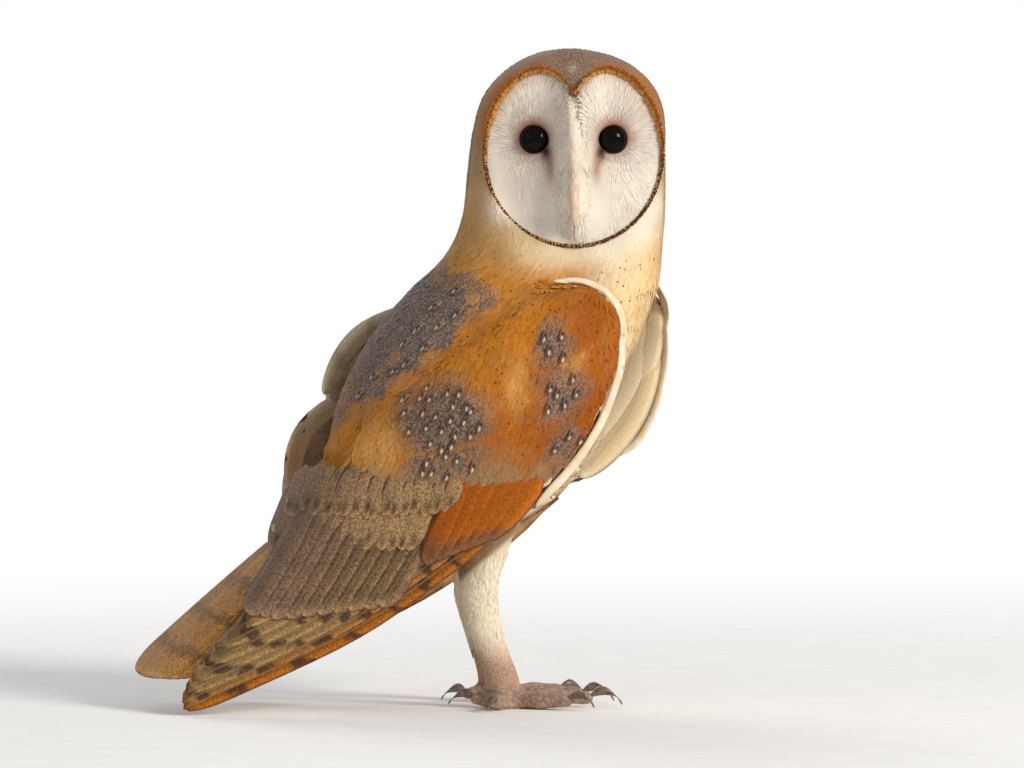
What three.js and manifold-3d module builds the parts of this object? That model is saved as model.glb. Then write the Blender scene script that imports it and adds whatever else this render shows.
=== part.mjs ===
// A barn owl at life size, standing on both feet with its head turned square to its right side.
// Its right wing is folded, and its left wing is a little open. Millimetres, +Z up: the body faces
// +X and the face looks along -Y. The origin is on the floor, under the pad of the right foot.
import * as THREE from "three";
import { mergeVertices } from "three/addons/utils/BufferGeometryUtils.js";
import Module from "manifold-3d";

const wasm = await Module();
wasm.setup();

// Driving dimensions.
const STANCE = 42; // between the two feet
const MIDLINE = STANCE / 2; // the body's mid-plane, measured from the right foot
const LEFT_FOOT_BACK = 4; // how far the left foot stands behind the right one
const GAP = 0.35; // between solids that touch
const FINENESS = 0.05; // detail below this is dropped where a cut leaves slivers
const THROAT = 243; // height of the cut between head and neck
const SHOULDERS = [20, 219]; // where the cut between neck and trunk passes, in x and z
const ANKLE = 61; // height of the cut between thigh and tarsus

// Stations of a loft: the centreline's x and z, then how far the plumage reaches ahead of it,
// behind it and to each side.
const TRUNK = [
  [-117, 80, 10, 9, 10], // tail root
  [-102, 89, 21, 20, 20],
  [-84, 98, 34, 33, 30], // rump
  [-63, 112, 46, 48, 38],
  [-44, 134, 54, 57, 44], // belly
  [-26, 159, 60, 61, 48],
  [-9, 184, 62, 59, 51], // breast
  [7, 205, 62, 53, 52],
  [19, 226, 61, 53, 48], // shoulders
  [26, 247, 58, 51, 41],
  [30, 268, 50, 50, 35],
];
const HEAD = [
  [24, 200, 40, 46, 36], // inside the breast
  [27, 225, 54, 56, 43],
  [30, 250, 54.5, 55, 41],
  [31.5, 275, 54, 53.5, 39.5],
  [33, 300, 52.5, 52, 40],
  [35.5, 325, 51, 48.5, 38],
  [37, 350, 51, 47, 34],
];
const CROWN_DOME = 0.25; // share of the head's loft that its rounded top takes
const LEG = [
  [-3, 126, 17, 17, 15], // inside the belly
  [-8, 106, 17.5, 19, 15.5],
  [-12, 88, 15, 16, 14],
  [-14.5, 72, 12.4, 12.4, 11.5],
  [-13.5, 56, 9.8, 9.8, 9], // ankle
  [-10, 41, 8.4, 8.4, 7.6],
  [-5.5, 26, 8, 8, 7.2],
  [-1.5, 12, 9, 9, 8],
  [0.5, -4, 9.5, 9.5, 9], // sole, cut flat at the floor
];

// The face: a heart-shaped disc that looks along -Y. Reaches forward are from the mid-plane.
const DISC = {
  x: 35.6, // its centre
  z: 292,
  radius: 46.5,
  lobe: 4.6, // how far each lobe of the heart stands out past the radius
  notch: 14.5, // how deep the heart is cut between its lobes
  chin: 39, // how far forward its middle stands
  temple: 14, // how far it falls back at its sides
  brow: 12, // and at its top
  dish: 6, // how deep it is dished to each side of its ridge
  pit: 1.3, // and how much deeper round each eye
  ridge: 5, // how far the ridge between the eyes stands out
  cere: 6, // and how much further over the bill
  seat: 14, // how far forward its back lies inside the head
};
const EYE = { apart: 40, z: 300.5, radius: 9, reach: 33.8 };
const BILL = {
  upper: { line: [[39, 281], [47, 275.5], [51.5, 267], [51.5, 260], [49, 255.5]], deep: 4.2, wide: 3.8 },
  lower: { line: [[38, 267], [43, 263.5], [46, 260], [47.2, 257]], deep: 2.2, wide: 2.6 },
};

// Stations down a wing at even steps from its bend to its tip: reach towards the leading edge,
// reach towards the trailing edge, thickness, and distances out from the mid-plane, first of the
// blade's middle and then of its trailing edge.
const FOLDED_WING = [
  [40, 15, 10, 52, 46],
  [57, 24, 12, 57, 47],
  [63, 31, 11, 59, 46],
  [59, 37, 9, 59, 38],
  [55, 42, 8, 58, 28],
  [49, 33, 7, 59, 28],
  [41, 20, 5, 62, 46],
  [27, 8, 4, 68, 62],
  [3, 2, 3, 74, 74],
];
const OPEN_WING = [
  [41, 22, 9, 55, 48],
  [66, 50, 11, 63, 50],
  [72, 72, 10, 66, 44],
  [59, 80, 9, 65, 36],
  [54, 71, 8, 62, 28],
  [44, 50, 7, 58, 24],
  [34, 31, 5, 50, 26],
  [22, 12, 4, 40, 30],
  [3, 2, 3, 32, 32],
];
const WING_BEND_OFFSET = 13; // from the blade's centreline to the foremost point of its bend
const WING_LEAD_CURL = 14; // how far the leading edge curls in round the breast at the bend
const RIGHT_WING = { side: -1, stations: FOLDED_WING, bend: [36, 219], tip: [-172, 1] };
const LEFT_WING = { side: 1, stations: OPEN_WING, bend: [60, 225], tip: [-160, 9] };

const TAIL = {
  root: [-93, 104],
  length: 139,
  slope: 39.5, // below the level
  turn: 23, // towards -Y
  roll: 13,
  half: [20, 39], // half its width at the root and at the tip
  thick: [5, 2], // at the root and at the tip
  shorter: [9, 6], // how much shorter its outer feathers are on the right and on the left
  sag: 5, // how far its two edges hang below its middle
};

// Toes of the right foot. Heading is the turn from straight ahead towards the mid-plane.
const TOES = {
  hallux: { heading: 172, length: 14, radius: 4.3, claw: 18 },
  inner: { heading: 7, length: 42, radius: 4.7, claw: 22 },
  middle: { heading: -26, length: 34, radius: 4.8, claw: 19 },
  outer: { heading: -104, length: 22, radius: 4.4, claw: 17 },
};
const TOE_START = 5; // from the middle of the foot's pad

const paint = (color, roughness) => new THREE.MeshStandardMaterial({ color, roughness, metalness: 0 });
const PAINT = {
  crown: paint(0xb98a55, 0.9),
  face: paint(0xefe2d0, 0.9),
  buff: paint(0xe2bd85, 0.9),
  wing: paint(0xb06f2a, 0.85),
  tail: paint(0xa07a48, 0.85),
  leg: paint(0xeadfce, 0.9),
  toe: paint(0x9c8072, 0.7),
  claw: paint(0x4b3a36, 0.35),
  bill: paint(0xdcc0ae, 0.4),
  eye: paint(0x0a0908, 0.08),
};

const { lerp, degToRad: radians, radToDeg: degrees } = THREE.MathUtils;
const bell = (x, width) => Math.exp(-((x / width) ** 2));
const power = (x, p) => Math.sign(x) * Math.abs(x) ** p;
// A quarter circle: 0 at the pole, 1 once share has passed reach.
const roundEnd = (share, reach) =>
  share >= reach ? 1 : Math.sqrt(Math.max(0, 1 - (1 - share / reach) ** 2));

// Evenly spaced steps, gathered towards both ends of a loft where it rounds over.
const crowded = (step) => lerp(step, (1 - Math.cos(Math.PI * step)) / 2, 0.8);

// A smooth curve through rows of numbers: gives the row at t, from 0 at the first to 1 at the last.
function through(rows) {
  const curves = rows[0].map((_, column) => {
    const points = rows.map((row) => new THREE.Vector3(row[column], 0, 0));
    return new THREE.CatmullRomCurve3(points, false, "catmullrom");
  });
  return (t) => curves.map((curve) => curve.getPoint(t).x);
}

// A closed grid: a sphere's vertices, each sent to place(turn round the grid, share along it).
function closedGrid(around, along, place) {
  const grid = new THREE.SphereGeometry(1, around, along);
  const position = grid.getAttribute("position");
  const uv = grid.getAttribute("uv");
  for (let i = 0; i < position.count; i++) {
    const share = 1 - uv.getY(i);
    const pole = share === 0 || share === 1;
    const turn = pole ? 0 : (uv.getX(i) % 1) * 2 * Math.PI;
    position.setXYZ(i, ...place(turn, share));
  }
  return solidOf(grid);
}

// A closed geometry as a solid, turned right side out.
function solidOf(geometry) {
  geometry.deleteAttribute("normal");
  geometry.deleteAttribute("uv");
  const merged = mergeVertices(geometry, 1e-4);
  const places = new Float32Array(merged.getAttribute("position").array);
  const faces = new Uint32Array(merged.index.array);
  const make = () => {
    const mesh = new wasm.Mesh({ numProp: 3, vertProperties: places, triVerts: faces });
    return new wasm.Manifold(mesh);
  };
  const made = make();
  if (made.volume() > 0) return made;
  for (let i = 0; i < faces.length; i += 3) faces.subarray(i, i + 3).reverse();
  return make();
}

// A body lofted along stations, in the plane y = middle. grow thickens it all round, which is how
// a neighbour that is cut by it keeps its gap.
function lofted(stations, middle, { around, along, ends, blunt = 2.2, grow = 0 }) {
  const at = through(stations);
  return closedGrid(around, along, (turn, step) => {
    const share = crowded(step);
    const [x, z, ahead, behind, side] = at(share);
    const [x0, z0] = at(Math.max(0, share - 0.02));
    const [x1, z1] = at(Math.min(1, share + 0.02));
    const heading = new THREE.Vector2(x1 - x0, z1 - z0).normalize();
    const end = roundEnd(share, ends[0]) * roundEnd(1 - share, ends[1]);
    const c = power(Math.cos(turn), 2 / blunt);
    const s = power(Math.sin(turn), 2 / blunt);
    const reach = (c > 0 ? ahead : behind) * c * end + grow * c;
    const past = share === 0 ? -grow : share === 1 ? grow : 0;
    const pole = past === 0 ? 1 : 0;
    return [
      x + heading.y * reach * pole + heading.x * past,
      middle + (side * end + grow) * s * pole,
      z - heading.x * reach * pole + heading.y * past,
    ];
  });
}

const TRUNK_GRID = { around: 24, along: 20, ends: [0.1, 0.14] };
const trunkSolid = (grow = 0) => lofted(TRUNK, MIDLINE, { ...TRUNK_GRID, grow });
const headSolid = (grow = 0) =>
  lofted(HEAD, MIDLINE, { around: 28, along: 18, ends: [0.12, CROWN_DOME], blunt: 2.5, grow });

// How far the trunk reaches to the side at a place in its side view.
const trunkAt = through(TRUNK);
const TRUNK_SAMPLES = Array.from({ length: 81 }, (_, i) => trunkAt(i / 80));
function flank(x, z) {
  const miss = ([cx, cz]) => Math.hypot(x - cx, z - cz);
  const station = TRUNK_SAMPLES.reduce((best, row) => (miss(row) < miss(best) ? row : best));
  const [cx, cz, ahead, behind, side] = station;
  const reach = x - cx > (z - cz) * 0.7 ? ahead : behind;
  return side * Math.max(0, 1 - (miss(station) / reach) ** 2.2) ** (1 / 2.2);
}

// The heart-shaped outline of the face: its radius at an angle measured up from the chin.
function heart(angle) {
  const up = degrees(angle);
  const lobes = DISC.lobe * bell(up - 147, 34);
  const notch = DISC.notch * bell(up - 180, 13);
  return DISC.radius + lobes - notch + 1.2 * Math.cos(angle);
}

// How far forward of the mid-plane the face stands, at a place across and up from its centre: it
// falls back to the temples and the brow, is dished round each eye, and has a ridge to the bill.
function faceDepth(across, up, share) {
  const temple = DISC.temple * (across / DISC.radius) ** 2;
  const brow = DISC.brow * Math.max(0, up / DISC.radius) ** 3;
  const ridgeWidth = 6.5 + 5 * Math.max(0, up / DISC.radius);
  const ridge = (DISC.ridge + DISC.cere * bell(up + 14, 22)) * bell(across, ridgeWidth);
  const dish = DISC.dish * (1 - share ** 4) * (1 - bell(across, 11));
  const pit = DISC.pit * bell(Math.hypot(Math.abs(across) - EYE.apart / 2, up - EYE.z + DISC.z), 11);
  return DISC.chin - temple - brow - dish - pit + ridge * (1 - share ** 5);
}

// A heart-shaped plug on the front of the head, from its seat forward to front(across, up, spread).
// All its rings but the last lie on the front, and the last is the edge of the seat.
function heartPlug(rings, front, grow) {
  return closedGrid(36, rings, (step, share) => {
    const turn = step - 0.32 * Math.sin(2 * step); // more spokes where the ridge and notch are
    const angle = turn > Math.PI ? 2 * Math.PI - turn : turn;
    const ring = Math.round(share * rings);
    const spread = ring === rings ? 0 : Math.min(1, ring / (rings - 2)) ** 0.85;
    const radius = heart(angle) * spread + (spread > 0 ? grow : 0);
    const across = radius * Math.sin(turn);
    const up = -radius * Math.cos(turn);
    const forward = ring < rings - 1 ? front(across, up, spread) : DISC.seat - grow;
    return [DISC.x + across, MIDLINE - forward, DISC.z + up];
  });
}
const facialDisc = () => heartPlug(13, faceDepth, 0);
const faceOpening = () => heartPlug(4, () => 2 * DISC.chin, GAP);

// A horn that curves in the plane x = DISC.x and tapers to a point, for the two halves of the bill.
function billSolid({ line, deep, wide }, grow = 0) {
  const centreline = new THREE.CatmullRomCurve3(
    line.map(([forward, z]) => new THREE.Vector3(DISC.x, MIDLINE - forward, z)),
  );
  return closedGrid(10, 9, (turn, share) => {
    const centre = centreline.getPoint(share);
    const heading = centreline.getTangent(share);
    if (share === 0 || share === 1) {
      return centre.addScaledVector(heading, share === 0 ? -grow : grow).toArray();
    }
    const size = roundEnd(share, 0.2) * (1 - share) ** 0.55;
    const out = (deep * size + grow) * Math.sin(turn);
    return [
      centre.x + (wide * size + grow) * Math.cos(turn),
      centre.y + out * heading.z,
      centre.z - out * heading.y,
    ];
  });
}

const eyeCentre = (side) => [DISC.x + (side * EYE.apart) / 2, MIDLINE - EYE.reach + EYE.radius, EYE.z];
function eyeball(side, grow = 0) {
  const ball = new THREE.SphereGeometry(EYE.radius + grow, 12, 8);
  ball.translate(...eyeCentre(side));
  return solidOf(ball);
}

// A wing as a curved blade that lies against the flank. share runs from the bend to the tip, and
// cos(turn) from 1 at the leading edge to -1 at the trailing edge.
function wingSolid({ side, stations, bend, tip }) {
  const at = through(stations);
  const chord = new THREE.Vector2(tip[0] - bend[0], tip[1] - bend[1]);
  const span = chord.length();
  chord.normalize();
  return closedGrid(22, 22, (turn, step) => {
    const share = step ** 1.8;
    const [lead, trail, thick, out, inner] = at(share);
    const end = roundEnd(share, 0.05);
    const c = Math.cos(turn);
    const reach = (c > 0 ? lead : trail) * c * end + WING_BEND_OFFSET * (1 - end);
    const down = share * span - WING_BEND_OFFSET * (1 - end);
    const x = bend[0] + chord.x * down - chord.y * reach;
    const z = bend[1] + chord.y * down + chord.x * reach;
    const curl = (c > 0 ? WING_LEAD_CURL * (1 - share) : out - inner) * c * c;
    const middle = Math.max(out - curl, flank(x, z) + thick / 2);
    const half = (thick / 2) * power(Math.sin(turn), 0.75) * end;
    return [x, MIDLINE + side * (middle + half), z];
  }).trimByPlane([0, 0, 1], 0);
}

// The tail: a thin fan that slopes down behind, turned and rolled so that its top faces -Y.
function tailSolid(grow = 0) {
  const [slope, turnOut, roll] = [TAIL.slope, TAIL.turn, TAIL.roll].map(radians);
  const along = new THREE.Vector3(
    -Math.cos(slope) * Math.cos(turnOut),
    -Math.cos(slope) * Math.sin(turnOut),
    -Math.sin(slope),
  );
  const level = new THREE.Vector3(Math.sin(turnOut), -Math.cos(turnOut), 0);
  const across = level.applyAxisAngle(along, -roll);
  const up = new THREE.Vector3().crossVectors(along, across);
  if (up.z < 0) up.negate();
  return closedGrid(16, 12, (turn, share) => {
    const c = Math.cos(turn);
    const blade = roundEnd(share, 0.06) * roundEnd(1 - share, 0.1);
    const half = lerp(...TAIL.half, share ** 0.7) * blade + (blade > 0 ? grow : 0);
    const shorter = TAIL.shorter[c > 0 ? 0 : 1] * Math.abs(c) ** 1.5 * share ** 2;
    const thick = (lerp(...TAIL.thick, share) / 2) * blade + grow;
    return new THREE.Vector3(TAIL.root[0], MIDLINE, TAIL.root[1])
      .addScaledVector(along, share * TAIL.length - shorter)
      .addScaledVector(across, half * c)
      .addScaledVector(up, thick * power(Math.sin(turn), 0.75) - TAIL.sag * c * c * blade)
      .toArray();
  });
}

const footAt = (side) => ({ x: side > 0 ? -LEFT_FOOT_BACK : 0, y: MIDLINE + (side * STANCE) / 2 });
function legSolid(side, grow = 0) {
  const { x, y } = footAt(side);
  const stations = LEG.map(([sx, ...rest]) => [sx + x, ...rest]);
  const leg = lofted(stations, y, { around: 14, along: 16, ends: [0.12, 0.03], grow });
  return leg.trimByPlane([0, 0, 1], 0);
}

// Sends a place in a toe's own frame (out along it, across it, up) to the owl's frame.
function toeFrame({ heading }, side) {
  const { x, y } = footAt(side);
  const turn = radians(heading);
  const ahead = [Math.cos(turn), -side * Math.sin(turn)];
  return (out, across, up) => [
    x + ahead[0] * out - ahead[1] * across,
    y + ahead[1] * out + ahead[0] * across,
    up,
  ];
}

// A toe: a low arch with padded joints, flat where it meets the floor.
function toeSolid(toe, side, grow = 0) {
  const place = toeFrame(toe, side);
  return closedGrid(8, 7, (turn, share) => {
    const pads = 1 + 0.08 * Math.cos(share * 4 * Math.PI);
    const taper = lerp(1.12, 0.84, share) * pads * roundEnd(share, 0.12) * roundEnd(1 - share, 0.18);
    const pole = share === 0 || share === 1 ? 0 : 1;
    const radius = (toe.radius * taper + grow) * pole;
    const past = share === 0 ? -grow : share === 1 ? grow : 0;
    return place(
      TOE_START + toe.length * share + past,
      radius * Math.cos(turn),
      toe.radius * 0.84 + Math.sin(Math.PI * share) * 0.6 + radius * Math.sin(turn),
    );
  }).trimByPlane([0, 0, 1], 0);
}

// A claw: a thin horn on a circular arc, which springs from the toe's end and curls to the floor.
const CLAW = { rise: 26, fall: -78, root: 2.3, tip: 0.5, inset: 2.5 };
function clawSolid(toe, side, grow = 0) {
  const place = toeFrame(toe, side);
  const [first, last] = [radians(CLAW.rise), radians(CLAW.fall)];
  const bend = toe.claw / (first - last);
  const start = TOE_START + toe.length - CLAW.inset;
  const spring = CLAW.tip * 0.8 + bend * (Math.cos(first) - Math.cos(last));
  return closedGrid(6, 7, (turn, share) => {
    const angle = lerp(first, last, share);
    const pole = share === 0 || share === 1 ? 0 : 1;
    const past = share === 0 ? -grow : share === 1 ? grow : 0;
    const radius = (lerp(CLAW.root, CLAW.tip, share ** 0.8) + grow) * pole;
    const lift = radius * Math.sin(turn);
    return place(
      start + bend * (Math.sin(first) - Math.sin(angle)) - lift * Math.sin(angle) + past * Math.cos(angle),
      radius * 0.8 * Math.cos(turn),
      spring + bend * (Math.cos(angle) - Math.cos(first)) + lift * Math.cos(angle) + past * Math.sin(angle),
    );
  }).trimByPlane([0, 0, 1], 0);
}

// The two sides of a plane through a point, a gap apart: first the side that the normal points to.
function parted(solid, normal, point) {
  const plane = new THREE.Vector3(...normal).normalize();
  const level = plane.dot(new THREE.Vector3(...point));
  const ahead = solid.trimByPlane(plane.toArray(), level + GAP / 2);
  const behind = solid.trimByPlane(plane.negate().toArray(), GAP / 2 - level);
  return [ahead, behind];
}
const largest = (solid) => solid.decompose().sort((a, b) => b.volume() - a.volume())[0].simplify(FINENESS);
const without = (solid, ...cutters) =>
  largest(cutters.reduce((left, cutter) => left.subtract(cutter), solid));

// A solid as a mesh whose own origin is the pivot where it joins the rest.
function piece(name, solid, material, pivot) {
  const { vertProperties, triVerts } = solid.getMesh();
  const geometry = new THREE.BufferGeometry();
  geometry.setAttribute("position", new THREE.BufferAttribute(new Float32Array(vertProperties), 3));
  geometry.setIndex(new THREE.BufferAttribute(new Uint32Array(triVerts), 1));
  geometry.translate(...pivot.map((p) => -p));
  geometry.computeVertexNormals();
  const mesh = new THREE.Mesh(geometry, material);
  mesh.name = name;
  mesh.position.set(...pivot);
  return mesh;
}

const SIDES = { right: -1, left: 1 };

function headGroup(headWhole) {
  const group = new THREE.Group();
  const [forward, height] = BILL.upper.line[0];
  const mouth = [DISC.x, MIDLINE - forward, height];
  const seat = [DISC.x, MIDLINE - DISC.seat, DISC.z];
  const sockets = Object.values(SIDES).map((side) => eyeball(side, GAP));
  const cutters = [...sockets, billSolid(BILL.upper, GAP), billSolid(BILL.lower, GAP)];
  const lower = without(billSolid(BILL.lower), billSolid(BILL.upper, GAP));
  const skull = without(headWhole, faceOpening(), ...cutters);
  group.add(piece("head", skull, PAINT.crown, [HEAD[0][0], MIDLINE, THROAT]));
  group.add(piece("facial_disc", without(facialDisc(), ...cutters), PAINT.face, seat));
  group.add(piece("bill_upper", billSolid(BILL.upper), PAINT.bill, mouth));
  group.add(piece("bill_lower", lower, PAINT.bill, mouth));
  for (const [name, side] of Object.entries(SIDES)) {
    group.add(piece(`eye_${name}`, eyeball(side), PAINT.eye, eyeCentre(side)));
  }
  return group;
}

function legGroup(name, side, trunk) {
  const group = new THREE.Group();
  const { x, y } = footAt(side);
  const ankle = [x + LEG[4][0], y, ANKLE];
  const [thigh, tarsus] = parted(legSolid(side), [0, 0, 1], ankle);
  const toes = Object.entries(TOES);
  group.add(piece(`thigh_${name}`, without(thigh, trunk), PAINT.leg, ankle));
  const around = legSolid(side, GAP);
  group.add(piece(`tarsus_${name}`, tarsus, PAINT.leg, [x, y, 0]));
  const placed = [];
  for (const [toeName, toe] of toes) {
    const solid = without(toeSolid(toe, side), around, ...placed);
    placed.push(toeSolid(toe, side, GAP));
    const end = toeFrame(toe, side)(TOE_START + toe.length, 0, toe.radius);
    group.add(piece(`toe_${toeName}_${name}`, without(solid, clawSolid(toe, side, GAP)), PAINT.toe, end));
    group.add(piece(`claw_${toeName}_${name}`, clawSolid(toe, side), PAINT.claw, end));
  }
  return group;
}

function owl() {
  const group = new THREE.Group();
  const column = trunkSolid().add(headSolid());
  const [headWhole, below] = parted(column, [0, 0, 1], [0, 0, THROAT]);
  const collar = [SHOULDERS[0], MIDLINE, SHOULDERS[1]];
  const [neck, trunk] = parted(below, [0.35, 0, 0.9], collar);
  const around = trunkSolid(GAP).add(headSolid(GAP));
  group.add(headGroup(headWhole));
  group.add(piece("neck", largest(neck), PAINT.buff, collar));
  group.add(piece("trunk", largest(trunk), PAINT.buff, [TRUNK[5][0], MIDLINE, TRUNK[5][1]]));
  const tail = without(tailSolid(), around);
  group.add(piece("tail", tail, PAINT.tail, [TAIL.root[0], MIDLINE, TAIL.root[1]]));
  for (const [name, side] of Object.entries(SIDES)) {
    group.add(legGroup(name, side, around));
    const wing = side < 0 ? RIGHT_WING : LEFT_WING;
    const blade = without(wingSolid(wing), around, legSolid(side, GAP), tailSolid(GAP));
    const bend = [wing.bend[0], MIDLINE + side * wing.stations[0][3], wing.bend[1]];
    group.add(piece(`wing_${name}`, blade, PAINT.wing, bend));
  }
  return group;
}

export default owl();
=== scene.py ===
import math

import bpy
import numpy as np
from mathutils import Matrix, Vector


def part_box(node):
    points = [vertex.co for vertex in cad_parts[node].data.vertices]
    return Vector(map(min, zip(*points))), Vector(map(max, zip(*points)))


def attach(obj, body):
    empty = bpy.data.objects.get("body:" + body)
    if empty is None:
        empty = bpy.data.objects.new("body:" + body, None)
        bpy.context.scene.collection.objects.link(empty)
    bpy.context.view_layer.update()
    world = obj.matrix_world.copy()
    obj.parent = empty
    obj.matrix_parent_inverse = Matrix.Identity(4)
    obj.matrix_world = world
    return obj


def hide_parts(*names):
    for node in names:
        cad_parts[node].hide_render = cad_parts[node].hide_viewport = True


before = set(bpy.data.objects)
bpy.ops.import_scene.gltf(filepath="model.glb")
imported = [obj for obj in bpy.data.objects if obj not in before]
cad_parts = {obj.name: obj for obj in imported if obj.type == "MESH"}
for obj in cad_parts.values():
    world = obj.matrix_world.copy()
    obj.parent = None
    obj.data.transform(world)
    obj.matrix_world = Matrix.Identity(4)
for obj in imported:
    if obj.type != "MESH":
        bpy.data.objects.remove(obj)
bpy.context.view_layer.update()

MM = 0.001


def node_box(name):
    """The lowest and highest corner of a CAD node, in millimetres."""
    low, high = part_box(name)
    return np.array(low) / MM, np.array(high) / MM


# ---- Sizes -------------------------------------------------------------------------------------

MIDLINE = float(np.mean([corner[1] for corner in node_box("trunk")]))
SIDES = {"right": -1, "left": 1}
FEET = {"right": (0.0, 0.0), "left": (-4.0, 2 * MIDLINE)}

# Stations of the trunk: the centreline's x and z, then its reach ahead, behind and to each side.
TRUNK = [
    [-117, 80, 10, 9, 10], [-102, 89, 21, 20, 20], [-84, 98, 34, 33, 30], [-63, 112, 46, 48, 38],
    [-44, 134, 54, 57, 44], [-26, 159, 60, 61, 48], [-9, 184, 62, 59, 51], [7, 205, 62, 53, 52],
    [19, 226, 61, 53, 48], [26, 247, 58, 51, 41], [30, 268, 50, 50, 35],
]
# Stations of a wing from its bend to its tip: reach to the leading and to the trailing edge,
# thickness, and distances out from the mid-plane, of the blade and of its trailing edge.
FOLDED_WING = [
    [40, 15, 10, 52, 46], [57, 24, 12, 57, 47], [63, 31, 11, 59, 46], [59, 37, 9, 59, 38],
    [55, 42, 8, 58, 28], [49, 33, 7, 59, 28], [41, 20, 5, 62, 46], [27, 8, 4, 68, 62],
    [3, 2, 3, 74, 74],
]
OPEN_WING = [
    [41, 22, 9, 55, 48], [66, 50, 11, 63, 50], [72, 72, 10, 66, 44], [59, 80, 9, 65, 36],
    [54, 71, 8, 62, 28], [44, 50, 7, 58, 24], [34, 31, 5, 50, 26], [22, 12, 4, 40, 30],
    [3, 2, 3, 32, 32],
]
WING_BEND_OFFSET = 13
WING_LEAD_CURL = 14
# fan is how much wider the feathers are spread than on the folded wing; edge is how far down the
# pale edge runs, and tuck how far its lower end is drawn in.
WINGS = {
    "right": {"side": -1, "stations": FOLDED_WING, "bend": (36, 219), "tip": (-172, 1), "fan": 1.0,
              "edge": 108, "tuck": 0},
    "left": {"side": 1, "stations": OPEN_WING, "bend": (60, 225), "tip": (-160, 9), "fan": 1.1,
             "edge": 91, "tuck": 9},
}
DISC = {"x": 35.6, "z": 292, "radius": 46.5, "lobe": 4.6, "notch": 14.5, "chin": 39, "temple": 14,
        "brow": 12, "dish": 6, "pit": 1.3, "ridge": 5, "cere": 6, "seat": 14}
EYE_PLACES = {side: np.mean(node_box(f"eye_{side}"), 0) for side in SIDES}
EYE_ACROSS = abs(EYE_PLACES["left"][0] - EYE_PLACES["right"][0]) / 2
EYE_UP = EYE_PLACES["left"][2] - DISC["z"]
TAIL = {"root": (-93, 104), "length": 139, "slope": 39.5, "turn": 23, "roll": 13}
TOES = {
    "hallux": {"heading": 172, "length": 14, "radius": 4.3, "claw": 18},
    "inner": {"heading": 7, "length": 42, "radius": 4.7, "claw": 22},
    "middle": {"heading": -26, "length": 34, "radius": 4.8, "claw": 19},
    "outer": {"heading": -104, "length": 22, "radius": 4.4, "claw": 17},
}
TOE_START = 5
CLAW = {"rise": 44, "fall": -72, "root": 2.2, "tip": 0.3, "inset": 3, "lift": 1.0}

# ---- Numbers and colours -----------------------------------------------------------------------


def ramp(x, low, high):
    """0 below low, 1 above high, and a smooth S between them."""
    t = np.clip((np.asarray(x, float) - low) / (high - low), 0, 1)
    return t * t * (3 - 2 * t)


def bell(x, width):
    """A bell curve: 1 at x = 0, and 1/e at x = width."""
    return np.exp(-((np.asarray(x, float) / width) ** 2))


def round_end(share, reach):
    """A quarter circle: 0 at share 0, and 1 once share has passed reach."""
    t = np.clip(1 - np.asarray(share, float) / reach, 0, 1)
    return np.sqrt(1 - t * t)


def mix(a, b, t):
    """Rows of a, turned to rows of b by the shares t."""
    t = np.asarray(t, float)[..., None]
    return np.asarray(a) * (1 - t) + np.asarray(b) * t


def unit(v):
    """Rows of v at length 1."""
    return v / np.maximum(np.linalg.norm(v, axis=-1, keepdims=True), 1e-9)


def through(rows, share):
    """A Catmull-Rom curve through rows of numbers: the row at each share, 0 first and 1 last."""
    rows = np.asarray(rows, float)
    held = np.vstack([2 * rows[0] - rows[1], rows, 2 * rows[-1] - rows[-2]])
    place = np.clip(share, 0, 1) * (len(rows) - 1)
    first = np.minimum(place.astype(int), len(rows) - 2)
    t = (place - first)[..., None]
    a, b, c, d = (held[first + k] for k in range(4))
    return 0.5 * (2 * b + (c - a) * t + (2 * a - 5 * b + 4 * c - d) * t**2 + (3 * b - 3 * c + d - a) * t**3)


def tint(red, green, blue):
    """A colour written from 0 to 255 as linear light."""
    c = np.array([red, green, blue]) / 255
    return np.where(c <= 0.04045, c / 12.92, ((c + 0.055) / 1.055) ** 2.4)


COLOUR = {
    "white": tint(240, 228, 208),
    "cream": tint(240, 213, 166),
    "face": tint(238, 226, 210),
    "buff": tint(220, 176, 110),
    "ochre": tint(172, 121, 60),
    "gold": tint(194, 120, 32),
    "orange": tint(172, 92, 12),
    "deep_orange": tint(154, 76, 8),
    "rust": tint(140, 58, 8),
    "grey": tint(124, 107, 97),
    "wing_grey": tint(132, 106, 88),
    "crown": tint(144, 115, 95),
    "brow": tint(174, 112, 50),
    "ruff": tint(186, 108, 38),
    "ruff_low": tint(120, 70, 30),
    "olive": tint(156, 125, 86),
    "pale_patch": tint(216, 156, 84),
    "brown": tint(96, 68, 44),
    "dark": tint(48, 36, 28),
    "halo": tint(142, 66, 32),
    "tear": tint(62, 24, 12),
    "pink": tint(206, 168, 146),
    "toe": tint(174, 148, 132),
    "pad": tint(206, 174, 142),
}

# ---- Meshes ------------------------------------------------------------------------------------


def grid_faces(rows, columns, wrap):
    """Triangles of a grid of rows x columns vertices. wrap joins the last column to the first."""
    index = np.arange(rows * columns).reshape(rows, columns)
    ahead = np.roll(index, -1, 1) if wrap else index[:, 1:]
    here = index if wrap else index[:, :-1]
    a, b, c, d = here[:-1], ahead[:-1], ahead[1:], here[1:]
    return np.stack([a, b, c, a, c, d], -1).reshape(-1, 3)


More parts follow.
